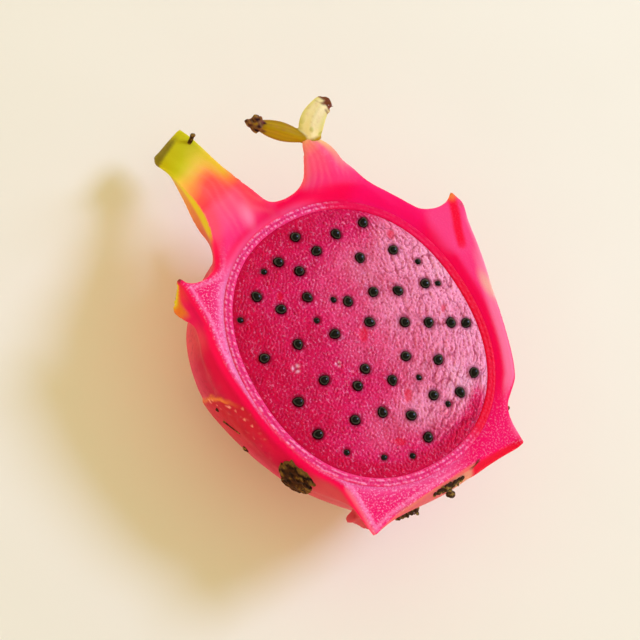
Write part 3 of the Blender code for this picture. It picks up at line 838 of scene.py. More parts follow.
class Nodes:
    """Short ways to build a shader."""

    def __init__(self, name):
        self.finish = bpy.data.materials.new(name)
        self.finish.use_nodes = True
        self.tree = self.finish.node_tree
        self.shader = self.tree.nodes["Principled BSDF"]
        self.where = self.tree.nodes.new("ShaderNodeTexCoord").outputs["Object"]

    def new(self, kind, **settings):
        node = self.tree.nodes.new(kind)
        for key, value in settings.items():
            setattr(node, key, value)
        return node

    def link(self, out, into):
        self.tree.links.new(out, into)

    def attribute(self, name, kind="Fac"):
        return self.new("ShaderNodeAttribute", attribute_name=name).outputs[kind]

    def noise(self, size, detail=2.0, rough=0.5, stretch=None):
        """Noise whose features are about size mm across."""
        node = self.new("ShaderNodeTexNoise")
        node.inputs["Scale"].default_value = 1.0 / (size * MM)
        node.inputs["Detail"].default_value = detail
        node.inputs["Roughness"].default_value = rough
        source = self.where
        if stretch:
            mapping = self.new("ShaderNodeMapping")
            mapping.inputs["Scale"].default_value = stretch
            self.link(source, mapping.inputs["Vector"])
            source = mapping.outputs["Vector"]
        self.link(source, node.inputs["Vector"])
        return node.outputs["Fac"]

    def steps(self, value, low, high, out_low=0.0, out_high=1.0):
        """A value spread smoothly between two levels."""
        node = self.new("ShaderNodeMapRange", interpolation_type="SMOOTHSTEP")
        limits = {"From Min": low, "From Max": high, "To Min": out_low, "To Max": out_high}
        for key, number in limits.items():
            node.inputs[key].default_value = number
        self.link(value, node.inputs["Value"])
        return node.outputs["Result"]

    def maths(self, kind, one, two):
        node = self.new("ShaderNodeMath", operation=kind)
        for socket, value in zip(node.inputs, (one, two)):
            if isinstance(value, (int, float)):
                socket.default_value = value
            else:
                self.link(value, socket)
        return node.outputs[0]

    def mix(self, share, one, two):
        node = self.new("ShaderNodeMix", data_type="RGBA")
        for socket, value in ((node.inputs[0], share), (node.inputs[6], one), (node.inputs[7], two)):
            if isinstance(value, (int, float)):
                socket.default_value = value
            elif isinstance(value, (tuple, np.ndarray)):
                socket.default_value = (*value, 1.0)
            else:
                self.link(value, socket)
        return node.outputs[2]

    def bump(self, height, depth, strength=1.0, below=None):
        node = self.new("ShaderNodeBump")
        node.inputs["Strength"].default_value = strength
        node.inputs["Distance"].default_value = depth * MM
        self.link(height, node.inputs["Height"])
        if below is not None:
            self.link(below, node.inputs["Normal"])
        return node.outputs["Normal"]

    def wear(self, colour, normal):
        """The finished material, in a colour and with a relief."""
        self.link(colour, self.shader.inputs["Base Color"])
        self.link(normal, self.shader.inputs["Normal"])
        return self.finish

    def set(self, **values):
        names = {"rough": "Roughness", "coat": "Coat Weight", "coat_rough": "Coat Roughness",
                 "flesh": "Subsurface Weight", "spread": "Subsurface Radius",
                 "spread_scale": "Subsurface Scale", "gloss": "Specular IOR Level"}
        for key, value in values.items():
            self.shader.inputs[names[key]].default_value = value
        return self


# ---------------------------------------------------------------- colours of the rind

def leaf_marks(places, keels):
    """For each leaf, how near a place is to it, how far along it, and how far out on its wing."""
    marks = []
    for keel in keels:
        near = keel.near(places)
        distance = np.full(len(places), 9.0)
        t = np.zeros(len(places))
        across = np.zeros(len(places))
        if near.size:
            distance[near], t[near], across[near] = keel.field(places[near])
        marks.append((distance, t, across))
    return marks


RED = srgb(250, 0, 78)
DEEP = srgb(160, 8, 48)
PINK = srgb(244, 52, 122)
BEAD_HIGHLIGHT = srgb(255, 150, 196)
SKIN = srgb(180, 30, 66)


def paint_cut_face(paint, places, out):
    """The rind's cut face: saturated by the flesh on the right, pale with painted sheen and frosted on the
    left.
    """
    x, y, z = places.T
    edge = CUT.far(x, y)
    gap = flesh_gap(places)
    left = leftness(places)
    foot = step(-24.0, -33.0, y)
    face = step(0.3, -0.2, edge) * step(-2.4, -1.2, z) * step(0.1, 0.5, out[:, 2])
    blotch = waves(places, 6.0, seed=11)
    paint.coat(face, RED)
    paint.coat(face * foot, srgb(243, 18, 98))
    # On the left, painted sheen makes the band by the flesh pale pink.
    paint.coat(face * left * step(9.0, 3.0, gap), srgb(242, 52, 124))
    paint.coat(face * left * step(3.0, 8.0, gap), srgb(250, 26, 110))
    # On the right, painted sheen makes it pale beyond a red band, and palest at the margin.
    bare = face * (1.0 - left) * (1.0 - foot)
    start = 3.0 + 1.7 * step(2.0, 18.0, y) * step(-12.0, 6.0, x)
    paint.coat(bare * step(0.0, 2.0, gap - start) * 0.85, srgb(251, 58, 124))
    margin = bare * step(-3.4, -1.4, edge) * step(2.8, 3.8, gap) * step(22.0, 28.0, x)
    paint.coat(margin * step(12.0, 0.0, y), srgb(252, 112, 152))
    web = step(13.0, 7.0, np.hypot(x - 26.0, y - 26.0))
    paint.coat(bare * web * 0.8, srgb(253, 14, 100))
    # Painted highlights, thin bright lines: along the raised border, and just outside the lip.
    crest = np.exp(-((edge + 1.0) / 0.42) ** 2) * left * face
    paint.coat(crest * 0.75, srgb(255, 132, 184))
    inner = np.exp(-((gap - 2.0) / 1.0) ** 2) * face
    pale = 0.35 + 0.5 * step(-8.0, 10.0, y)
    paint.coat(inner * pale * left, srgb(252, 130, 184))
    paint.coat(inner * 0.4 * (1.0 - left) * step(12.0, 2.0, x), srgb(252, 110, 172))
    # How frosted it is, bloom with painted glints, mostly on the left.
    grain = face * (0.04 + 0.9 * left * step(1.0, 2.0, gap) + 0.35 * foot * (1.0 - left))
    ring = (1.0 - left) * (1.0 - foot) * step(1.6, 0.4, gap - start)
    return grain * (1.0 - ring) + 0.05 * blotch * face * left


def paint_teeth(paint, places):
    """The right tooth and the two feet at the stem end, with the wall between them."""
    x, y, z = places.T
    # Right: a red keel between faces painted pink with sheen, and a dry orange point.
    face = step(9.0, 6.0, np.hypot(x - 38.0, y - 14.0)) * step(30.0, 34.0, x) * step(-6.0, -3.0, z)
    paint.coat(face * 0.8, srgb(251, 66, 128))
    paint.line([(41.4, 20.4, -0.4), (39.9, 16.2, -0.2), (38.2, 12.6, -0.2), (36.8, 8.6, -0.3)],
               0.7, 1.7, srgb(249, 0, 56), step(5.0, 10.0, y))
    # Painted sheen: a pale line along the outer edge.
    paint.line([(42.6, 16.6, -0.8), (40.9, 8.0, -0.8), (38.9, 0.0, -0.8), (37.0, -6.0, -0.8)],
               0.4, 1.5, srgb(252, 140, 165), 0.7 * step(17.0, 12.0, y))
    paint.spot((37.0, -3.4, -0.8), (2.4, 6.5, 2.5), srgb(243, 176, 150), strength=0.85)
    paint.spot((41.6, 21.0, -0.6), (2.4, 2.6, 2.6), srgb(244, 130, 70), soft=0.9)
    paint.spot((41.4, 21.9, -0.6), (1.1, 1.3, 1.6), srgb(140, 110, 50))
    paint.spot((42.7, 17.6, -0.8), (0.9, 1.2, 1.5), srgb(150, 96, 60), strength=0.8)
    # Foot, right: a red side below a pale corner.
    paint.coat(step(5.5, 8.5, x) * step(-39.2, -40.4, y) * step(-8.0, -5.0, z), srgb(218, 0, 50))
    paint.spot((23.0, -37.5, -0.5), (2.4, 4.6, 2.5), srgb(250, 110, 150), soft=0.9, strength=0.7)
    paint.line([(6.9, -40.1, -1.0), (9.6, -39.4, -0.3)], 0.25, 0.6, srgb(90, 40, 24))
    # Foot, middle: a peach wall under a tan line.
    wall = step(-18.0, -13.0, x) * step(8.0, 6.5, x) * step(-39.9, -40.5, y) * step(-9.0, -6.0, z)
    paint.coat(wall, srgb(206, 92, 100))
    paint.coat(wall * step(-1.0, 3.0, x) * 0.8, srgb(216, 140, 112))
    paint.line([(-21.0, -41.9, -0.4), (-14.4, -40.8, -0.3), (-2.0, -40.0, -0.3), (8.0, -39.6, -0.4)],
               0.2, 0.6, srgb(214, 110, 96), 0.8)
    # Foot, left: a painted highlight along the fold, down to a brown point.
    paint.line([(-23.0, -30.0, 0), (-22.6, -36.0, 0), (-22.9, -41.0, 0)], 0.5, 1.5,
               srgb(252, 120, 172), 0.7 * step(-1.5, -0.6, z))
    paint.spot((-23.4, -43.0, -0.8), (1.2, 1.4, 1.6), srgb(150, 60, 50), strength=0.8)


# The long strap's colours along its length: on top, at its right margin, and on the flank, high and low.
STRAP_TOP = [
    (0.33, 250, 30, 112), (0.48, 250, 74, 132), (0.59, 252, 80, 122), (0.64, 253, 62, 88),
    (0.70, 253, 84, 84), (0.745, 248, 128, 84), (0.79, 244, 172, 84), (0.84, 236, 196, 80),
    (0.89, 214, 196, 52), (0.94, 198, 190, 30), (1.02, 196, 182, 24),
]
STRAP_MARGIN = [
    (0.4, 246, 24, 90), (0.6, 250, 60, 70), (0.68, 244, 150, 50), (0.74, 226, 200, 20),
    (1.0, 196, 186, 30),
]
STRAP_UPPER = [
    (0.33, 186, 76, 80), (0.40, 196, 84, 76), (0.46, 206, 130, 44), (0.51, 208, 172, 20),
    (0.73, 218, 186, 28), (0.85, 216, 184, 60), (1.02, 188, 174, 40),
]
STRAP_LOWER = [
    (0.33, 188, 82, 80), (0.53, 204, 96, 70), (0.69, 212, 118, 66), (0.83, 214, 150, 70),
    (1.02, 190, 168, 50),
]
BRACT_TOP = [
    (0.2, 250, 20, 96), (0.5, 253, 60, 120), (0.8, 250, 92, 126), (0.95, 244, 140, 120),
    (1.0, 240, 176, 120),
]


def paint_strap(paint, places, mark):
    """The long strap: pink, peach and lime on top, yellow and orange on its flank."""
    distance, t, across = mark
    strap = step(2.2, 0.8, distance) * step(0.26, 0.46, t) * step(33.0, 39.0, places[:, 1])
    along = t + 0.03 + 0.018 * waves(places, 9.0, seed=5) - 0.02 * across
    margin = 0.7 * (step(0.5, 0.98, across) * step(0.9, 0.8, t))[:, None]
    top = ramp(along, STRAP_TOP) * (1.0 - margin) + margin * ramp(along, STRAP_MARGIN)
    flank = step(0.0, -0.10, across)[:, None]
    low = step(-0.38, -0.62, across)[:, None]
    side = ramp(along, STRAP_UPPER) * (1 - low) + ramp(along, STRAP_LOWER) * low
    colour = top * (1 - flank) + side * flank
    paint.coat(strap, colour)
    paint.coat(strap * step(0.978, 0.998, t) * step(0.95, 0.5, across) * 0.9, srgb(120, 100, 34))
    ribs = np.sin(across * 26.0 + 3.0 * waves(places, 10.0, seed=15))
    ribs *= step(0.0, 0.2, across) * step(0.9, 0.7, t)
    paint.coat(strap * np.clip(ribs, 0, 1) * 0.1, srgb(255, 150, 170))
    paint.coat(strap * np.clip(-ribs, 0, 1) * step(0.75, 0.5, t) * 0.12, srgb(246, 30, 96))
    # A painted highlight near the strap's root.
    paint.spot((-8.9, 39.8, 0), (2.6, 5.0, 4), srgb(255, 156, 194), soft=0.95, strength=0.6)
    return strap


def paint_bract(paint, places, mark):
    """The short bract: veined pink with a peach margin."""
    distance, t, across = mark
    bract = step(2.2, 0.8, distance) * step(0.30, 0.56, t)
    paint.coat(bract, ramp(t, BRACT_TOP))
    veins = np.sin(across * 25.0 + 2.4 * waves(places, 9.0, seed=16))
    paint.coat(bract * np.clip(veins, 0, 1) * step(0.2, 0.6, t) * 0.13, srgb(255, 150, 178))
    paint.coat(bract * np.clip(-veins, 0, 1) * 0.14, srgb(240, 20, 90))
    paint.coat(bract * step(0.35, 0.95, across) * step(0.35, 0.8, t) * 0.85, srgb(250, 150, 124))
    paint.coat(bract * step(0.4, 1.0, across) * step(0.62, 0.95, t), srgb(240, 188, 124))
    paint.coat(bract * step(-0.6, -1.0, across) * step(0.3, 0.7, t) * 0.5, srgb(230, 110, 110))
    return bract


def paint_scales(paint, places):
    """The scales on the body: paler toward the tip, with a dry orange margin."""
    x, y, z = places.T
    for distance, t, across in leaf_marks(places, KEELS["below"][len(CUT_LEAVES):]):
        near = step(1.5, 0.4, distance)
        margin = np.maximum(step(0.82, 0.99, np.abs(across)) * step(0.35, 0.6, t), step(0.90, 0.985, t))
        paint.coat(near * step(0.5, 1.0, t) * 0.35, srgb(206, 60, 110))
        paint.coat(near * margin * 0.85, srgb(222, 122, 62))
        paint.coat(near * step(0.96, 1.0, t) * 0.8, srgb(196, 160, 70))
    # The broad scale on the left wall has a thin orange margin.
    far = SIDE.far(y, z) + 0.25 * waves(places, 3.0, seed=31)
    left = step(-22.0, -27.0, x) * step(-14.0, -3.0, y)
    paint.coat(left * step(0.4, -0.4, far) * 0.7, srgb(184, 34, 50))
    line = step(0.7, 0.1, np.abs(far + 0.3)) * step(-2.0, -6.0, z)
    paint.coat(left * line * 0.85, srgb(222, 118, 58))
    # Painted highlights: pale dots on the scale, inside its margin.
    specks = step(0.9, 1.5, waves(places, 1.1, seed=32)) * step(-4.5, -1.0, far) * step(0.0, -0.8, far)
    paint.coat(left * specks * 0.8, srgb(255, 170, 160))


def paint_left_tooth(paint, places, mark):
    """Its blade hangs from the raised border, red above and lime at the margin."""
    distance, t, across = mark
    blade = step(2.0, 0.6, distance) * step(0.05, -0.12, across) * step(0.45, 0.7, t)
    paint.coat(blade, srgb(214, 16, 84))
    paint.coat(blade * step(0.78, 0.95, t) * 0.8, srgb(226, 60, 60))
    paint.coat(blade * step(0.70, 0.80, t) * step(-0.36, -0.62, across), srgb(214, 108, 42))
    paint.coat(blade * step(0.84, 0.90, t) * step(-0.56, -0.80, across), srgb(204, 184, 44))
    paint.spot((-32.0, 33.2, -0.6), (1.0, 1.2, 1.2), srgb(110, 60, 44))
    paint.spot((-35.8, 27.2, -7.0), (0.8, 1.0, 1.2), srgb(120, 80, 40))


def paint_rind(thing, sagged):
    """The skin: wall, bevel and scales first, then the cut face, the teeth and the long bracts."""
    out = normals(thing)
    places = unsagged(sagged)
    x, y, z = places.T
    edge = CUT.far(x, y)
    paint = Paint(places, SKIN)
    paint.coat(0.35 + 0.3 * waves(places, 9.0, seed=12), DEEP)
    paint.coat(step(-7.0, -16.0, z) * 0.8, srgb(200, 56, 96))
    # The bevel under the cut face's border is clean and red, duller lower down.
    drop = np.hypot(np.clip(edge, 0.0, None), np.clip(-z, 0.0, None))
    bevel = step(7.5, 3.0, drop)
    paint.coat(bevel, srgb(206, 12, 66))
    paint.coat(step(2.8, 1.2, drop), srgb(244, 2, 88))
    paint.coat(step(14.0, 20.0, y) * step(1.0, 3.0, drop) * 0.6, srgb(214, 76, 88))
    corner = step(-20.0, -27.0, y) * step(-15.0, -20.0, x)
    paint.coat(corner * step(1.2, 2.6, drop) * 0.8, srgb(196, 74, 84))
    strap_mark, bract_mark = leaf_marks(places, KEELS["long"])
    paint_scales(paint, sagged)
    paint_left_tooth(paint, places, *leaf_marks(places, KEELS["below"][:1]))
    frost_and_glints = paint_cut_face(paint, places, out)
    paint_teeth(paint, places)
    strap = paint_strap(paint, places, strap_mark)
    bract = paint_bract(paint, places, bract_mark)
    frost_and_glints = np.clip(frost_and_glints * (1.0 - 0.9 * strap) * (1.0 - 0.85 * bract), 0.0, 1.0)
    wall = (1.0 - bevel) * (1.0 - strap) * (1.0 - bract) * step(0.0, 0.5, edge)
    paint.finish(thing, frost_and_glints, wall)


def paint_lip(thing, places):
    """The lip: on the left pink with pale beads, partly painted sheen and highlights, its groove painted
    darker as shade; plain red on the right.
    """
    paint = Paint(places, PINK)
    left = pale_side(places)
    paint.coat(1.0 - left, srgb(238, 0, 52))
    paint.coat((1.0 - left) * step(-4.0, 18.0, places[:, 1]), srgb(242, 0, 80))
    out = np.repeat([out for out, _ in LIP_SECTION], len(places) // len(LIP_SECTION))
    groove = np.abs(out - LIP_GROOVE) < 0.2
    crest = np.min([np.abs(out - at) for at in LIP_CRESTS], axis=0) < 0.25
    bead = step(-0.2, 0.8, waves(places, BEAD_LENGTH, seed=40))
    # Pale beads along the crests, partly painted highlights, mostly on the left.
    paint.coat(crest * bead * (0.06 + 0.84 * left), BEAD_HIGHLIGHT)
    # Painted shade in the groove, on the left.
    paint.coat(groove * 0.35 * left, srgb(214, 20, 100))
    paint.finish(thing, frost_and_glints=0.3 * left)


def paint_curls(thing, places):
    """The dried curls: one olive and striped to a charred knob, one pale with a brown end."""
    (left, t, across), (right, s, spread) = leaf_marks(places, KEELS["curls"])
    paint = Paint(places, srgb(162, 124, 0))
    stripes = 0.5 + 0.5 * np.sin(across * 14.0 + waves(places, 6.0, seed=81))
    paint.coat(stripes * 0.5, srgb(188, 150, 8))
    paint.coat(step(0.6, 1.0, np.abs(across)) * 0.5, srgb(140, 100, 10))
    paint.coat(step(0.72, 0.95, t) * 0.6, srgb(130, 92, 24))
    pale = step(0.4, -0.4, right - left) * step(0.02, 0.12, s)
    paint.coat(pale, srgb(234, 216, 160))
    paint.coat(pale * step(0.5, 1.0, np.abs(spread)) * 0.6, srgb(206, 196, 90))
    spots = step(0.8, 1.4, waves(places, 3.2, seed=82)) * step(0.5, 0.2, s)
    paint.coat(pale * spots * 0.7, srgb(170, 170, 60))
    end = step(21.0, 22.3, places[:, 0] + 0.5 * waves(places, 1.6, seed=83))
    paint.coat(end, srgb(104, 54, 26))
    lumps = np.min([np.linalg.norm(places - np.array(at), axis=1) - radius for at, radius in KNOB], axis=0)
    char = 0.5 + 0.5 * waves(places, 1.2, seed=84)[:, None]
    dark = srgb(66, 36, 22) * (1.0 - char) + srgb(128, 86, 48) * char
    paint.coat(step(1.2, 0.3, lumps + 0.4 * waves(places, 1.6, seed=83)), dark)
    paint.finish(thing, wall=0.3)


def paint_bits(thing, places):
    """Dark brown, with lighter flakes."""
    paint = Paint(places, srgb(58, 34, 16))
    flakes = waves(places, 1.2, seed=91) + 0.5 * waves(places, 0.48, seed=92)
    paint.coat(step(0.0, 1.2, flakes), srgb(136, 104, 46))
    paint.finish(thing)


def paint_scar(thing, places):
    """Cork: dark brown and pitted, olive toward its edge."""
    paint = Paint(places, srgb(64, 34, 16))
    flakes = waves(places, 1.6, seed=93) + 0.5 * waves(places, 0.7, seed=94)
    paint.coat(step(0.4, 1.4, flakes) * 0.8, srgb(120, 80, 34))
    paint.coat(step(-0.3, -1.2, flakes) * 0.9, srgb(24, 10, 6))
    rim = SCAR.far(places[:, 1], places[:, 2])
    paint.coat(step(-1.1, -0.1, rim + 0.9 * flakes) * 0.5, srgb(126, 90, 42))
    paint.finish(thing)


def rind_material(name="rind", rough=0.45, gloss=0.05):
    """Waxy skin: mottled where it is wall, finely frosted where it is cut, its pale speckles there painted
    glints.
    """
    n = Nodes(name)
    n.set(rough=rough, gloss=gloss, flesh=0.1, spread=(1.0, 0.2, 0.25), spread_scale=1.4 * MM)
    frost_and_glints, wall = n.attribute("frost_and_glints"), n.attribute("wall")
    # Where each speckle shows, its noise, the levels it starts and ends at, its strength, its colour.
    speckles = [(wall, (2.4, 4.0, 0.6), 0.46, 0.72, 0.3, srgb(210, 84, 100)),
                (wall, (1.2, 3.0), 0.5, 0.72, 0.4, srgb(140, 6, 50)),
                (frost_and_glints, (0.75, 3.0, 0.6), 0.5, 0.66, 0.5, srgb(232, 10, 92)),
                (frost_and_glints, (0.5, 2.0, 0.6), 0.5, 0.66, 0.7, srgb(255, 158, 200))]
    colour = n.attribute("tint", "Color")
    for where, noise, low, high, most, speckle in speckles:
        share = n.maths("MULTIPLY", where, n.steps(n.noise(*noise), low, high, 0.0, most))
        colour = n.mix(share, colour, speckle)
    fine = n.bump(n.noise(0.5, 2.0), 0.10, 0.5)
    return n.wear(colour, n.bump(n.noise(3.0, 3.0), 0.2, 0.5, fine))


# ---------------------------------------------------------------- flesh and seeds

def flesh_dome(x, y):
    """Height of the flesh's bare surface: a low dome that rolls off at its edge."""
    places = np.stack([x, y, np.zeros_like(x)], axis=1)
    gap = flesh_gap(places)
    level = np.clip(1.0 + gap / 31.0, 0.0, 1.2)
    return DOME_RISE - 1.15 * level**2.4 - 0.25 * step(-1.6, 0.0, gap)


def seed_places():
    """Name, centre and size of each packed seed, in mm."""
    found = []
    for name in sorted(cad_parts):
        if name.startswith("seed_"):
            low, high = (np.array(corner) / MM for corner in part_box(name))
            centre = 0.5 * (low + high)
            centre[2] -= RIM_MM
            found.append((name, centre, high - low))
    return found


# Red wet spots in the flesh: centre and radii. Pale-rimmed pits: centre and size.
WET_SPOTS = [
    (0.9, 0.6, 1.1, 1.9), (2.6, -17.4, 1.0, 1.8), (21.7, 19.2, 1.0, 1.3), (23.1, -3.0, 0.6, 1.0),
    (-5.5, -26.2, 1.6, 0.9), (2.0, 9.6, 0.7, 1.2), (-12.5, 18.4, 0.7, 1.1),
]
PITS = [(-18.6, 1.2, 0.9), (-8.8, -2.7, 0.6)]


def streaks(x, y, length, seed, way, spread, count=40):
    """Unevenness of one wavelength, its crests lying across a direction within a spread."""
    chance = np.random.default_rng(seed)
    total = np.zeros_like(x)
    for _ in range(count):
        turn = way + chance.normal(0, spread)
        pace = 2 * math.pi / (length * chance.uniform(0.7, 1.4))
        total += np.sin(pace * (x * np.cos(turn) + y * np.sin(turn)) + chance.uniform(0, 2 * math.pi))
    return total / math.sqrt(count / 2)


def flesh_top(x, y, seeds):
    """Height of the wet, grainy flesh, and what flesh_material reads, by name."""
    height = flesh_dome(x, y)
    right = step(-8.0, 24.0, x - 0.25 * y)
    drift = np.arctan2(y + 8.0, x + 30.0)
    across = -0.57 + 0.6 * right * (drift * 1.2)
    grain = 0.055 * streaks(x, y, 1.0, 21, -0.57, 1.0)
    grain += 0.05 * streaks(x, y, 0.75, 22, -0.57, 0.5)
    grain += 0.075 * right * streaks(x, y, 1.5, 23, across, 0.35)
    coarse = streaks(x, y, 3.2, 24, 0.3, 1.2)
    crack = np.exp(-(streaks(x, y, 4.5, 25, across, 0.5) / 0.14) ** 2) * right
    spots = np.zeros_like(x)
    for cx, cy, rx, ry in WET_SPOTS:
        dx, dy = (x - cx) * 0.84 - (y - cy) * 0.54, (x - cx) * 0.54 + (y - cy) * 0.84
        spots = np.maximum(spots, 1.0 - step(0.5, 1.0, np.hypot(dx / rx, dy / ry) / 1.3))
    pale = np.zeros_like(x)
    for cx, cy, size in PITS:
        far = np.hypot(x - cx, y - cy) / size
        notches = 0.5 + 0.5 * np.sin(3 * np.arctan2(y - cy, x - cx))
        pale = np.maximum(pale, np.exp(-(far - 0.9) ** 2 / 0.15) * notches)
        height -= 0.45 * np.exp(-far**2)
    halo = np.zeros_like(x)
    # Round each seed: a ring for painted shade, a raised rim and a dimple.
    for _, centre, size in seeds:
        far = np.hypot(x - centre[0], y - centre[1]) / (0.25 * (size[0] + size[1]))
        halo = np.maximum(halo, 1.0 - step(0.95, 1.75, far))
        height += 0.07 * np.exp(-((far - 1.3) / 0.3) ** 2) - 0.35 * np.exp(-(far / 0.8) ** 2)
    bumps = (grain + 0.05 * coarse) * (1.0 - 0.85 * spots) * (1.0 - 0.6 * halo)
    inland = step(-0.3, -1.8, flesh_gap(np.stack([x, y, np.zeros_like(x)], axis=1)))
    height += (bumps - 0.13 * crack) * inland - 0.14 * spots
    return height, {"halo": halo, "wet_spot": spots, "pale": pale, "crack": crack, "grain": grain}


FLESH_NET = np.array((250, 284))
FLESH_RINGS = 12
FLESH_BASE = 0.985  # how far round the flesh's back the rings go


def make_flesh(seeds):
    """One closed mesh: a fine square net laid over the top, then rings down and under."""
    columns, rows = FLESH_NET
    u, v = np.meshgrid(np.linspace(-1, 1, columns), np.linspace(-1, 1, rows), indexing="ij")
    disc_x = u * np.sqrt(1 - v * v / 2)
    disc_y = v * np.sqrt(1 - u * u / 2)
    turn = np.arctan2(disc_y, disc_x)
    plump = 1.0 + (plumpness(np.cos(turn), np.sin(turn)) - 1.0) * np.hypot(disc_x, disc_y) ** 2
    x = (disc_x * plump * CUT_RADII[0] + FLESH_CENTRE[0]).ravel()
    y = (disc_y * plump * CUT_RADII[1] + FLESH_CENTRE[1]).ravel()
    height, marks = flesh_top(x, y, seeds)
    top = np.stack([x, y, height], axis=1)
    number = np.arange(columns * rows).reshape(columns, rows)
    corners = [number[:-1, :-1], number[1:, :-1], number[1:, 1:], number[:-1, 1:]]
    faces = [np.stack(corners, axis=-1).reshape(-1, 4)]
    loop = np.concatenate([number[:, 0], number[-1, 1:], number[-2::-1, -1], number[0, -2:0:-1]])
    edge = top[loop]
    rings = [top]
    last = loop
    start = math.asin(-FLESH_CENTRE[2] / FLESH_RADII[2])
    total = len(top)
    for drop in np.linspace(0.0, 1.0, FLESH_RINGS + 1)[1:]:
        lean = start + (-math.pi / 2 - start) * drop * FLESH_BASE
        share = math.cos(lean) / math.cos(start)
        ring = edge.copy()
        ring[:, :2] = FLESH_CENTRE[:2] + (edge[:, :2] - FLESH_CENTRE[:2]) * share
        ring[:, 2] = FLESH_CENTRE[2] + FLESH_RADII[2] * math.sin(lean)
        rings.append(ring)
        these = total + np.arange(len(loop))
        faces.append(np.stack([last, these, np.roll(these, -1), np.roll(last, -1)], axis=1))
        last = these
        total += len(loop)
    vertices = np.concatenate(rings)
    thing = new_mesh("wet_flesh", vertices, np.concatenate(faces).tolist())
    fill_last(thing, last)
    for name, values in marks.items():
        put(thing, name, np.concatenate([values, np.zeros(len(vertices) - len(top))]))
    put(thing, "sheen_tone", flesh_sheen_tone(vertices))
    return thing


def flesh_sheen_tone(places):
    """From 0, deep crimson on the left, to 1, pale with painted sheen on the right, darker with less sheen
    toward both ends.
    """
    x, y = places[:, 0], places[:, 1]
    sheen_tone = np.clip((x + 29.0) / 58.0, 0.0, 1.0) + 0.16 * step(-12.0, -22.0, y)
    sheen_tone *= (1.0 - 0.65 * step(12.0, 31.0, y)) * (1.0 - 0.35 * step(-22.0, -33.0, y))
    sheen_tone *= 1.0 - 0.75 * step(-5.0, -2.5, flesh_gap(places)) * step(-4.0, -14.0, y) * step(24.0, 16.0, x)
    return sheen_tone + 0.05 * waves(places, 9.0, seed=26)


def fill_last(thing, loop):
    """Closes a mesh over a ring of its vertices."""
    work = bmesh.new()
    work.from_mesh(thing.data)
    work.verts.ensure_lookup_table()
    work.faces.new([work.verts[int(k)] for k in loop[::-1]])
    bmesh.ops.recalc_face_normals(work, faces=work.faces[:])
    for face in work.faces:
        face.smooth = True
    work.to_mesh(thing.data)
    work.free()


def flesh_material():
    """Wet flesh, crimson on one side and paler, more open-grained on the other, the pale side painted
    sheen; with painted glints and highlights, and painted shade in the grain's hollows, the cracks and
    round each seed.
    """
    n = Nodes("flesh")
    n.set(rough=0.25, gloss=0.08, coat=0.02, coat_rough=0.15, flesh=0.1, spread=(1.0, 0.12, 0.15),
          spread_scale=1.0 * MM)
    sheen_tone = n.attribute("sheen_tone")
    # Painted sheen: from crimson to pale as the sheen tone rises.
    low = n.mix(n.steps(sheen_tone, 0.0, 0.5), srgb(210, 0, 66), srgb(228, 30, 100))
    colour = n.mix(n.steps(sheen_tone, 0.35, 1.0), low, srgb(255, 152, 186))
    colour = n.mix(n.steps(n.noise(6.0, 3.0), 0.42, 0.7, 0.0, 0.35), colour, srgb(190, 0, 62))
    sheen = n.maths("MULTIPLY", n.steps(n.noise(8.0, 2.0), 0.45, 0.65, 0.0, 0.3), n.steps(sheen_tone, 0.5, 1.0))
    colour = n.mix(sheen, colour, srgb(255, 196, 216))
    relief = n.attribute("grain")
    # Painted shade in the grain's hollows.
    colour = n.mix(n.steps(relief, -0.02, -0.14, 0.0, 0.45), colour, srgb(186, 0, 62))
    grain = n.noise(0.75, 3.0, 0.6, stretch=(1.0, 0.8, 1.0))
    glint = n.maths("MULTIPLY", n.steps(grain, 0.58, 0.67), n.steps(sheen_tone, 0.0, 0.8, 0.3, 0.7))
    colour = n.mix(glint, colour, srgb(255, 150, 196))
    # Painted highlights on the grain's crests.
    bright = n.maths("MULTIPLY", n.steps(relief, 0.03, 0.15), n.steps(sheen_tone, 0.05, 0.8, 0.02, 0.5))
    colour = n.mix(bright, colour, srgb(252, 158, 198))
    colour = n.mix(n.steps(n.noise(0.95, 3.0, 0.6), 0.52, 0.66, 0.0, 0.4), colour, srgb(178, 0, 56))
    colour = n.mix(n.maths("MULTIPLY", n.attribute("wet_spot"), 0.7), colour, srgb(228, 0, 48))
    # Painted shade in a ring round each seed.
    colour = n.mix(n.maths("MULTIPLY", n.attribute("halo"), 0.65), colour, srgb(120, 0, 30))
    # Painted shade in the cracks.
    colour = n.mix(n.maths("MULTIPLY", n.attribute("crack"), 0.75), colour, srgb(160, 0, 60))
    colour = n.mix(n.attribute("pale"), colour, srgb(250, 180, 205))
    fine = n.bump(n.noise(0.45, 2.0), 0.12, 0.7)
    return n.wear(colour, n.bump(grain, 0.25, 0.7, fine))


SEED_SIZE = np.array((2.95, 2.6, 2.5))
SMALL_SIZE = 0.72  # of a small seed, against a full one
SMALL_BELOW = 2.5  # a packed seed shorter than this is a small one
SUNK, SMALL_SUNK = 0.25, 0.68  # how far a seed's middle lies below the flesh's dome
SEED_TURN = 2.39996  # each seed's turn from the one before, and a step of its lean
SEED_STEP = 1.7
SEED_LEAN = 0.35


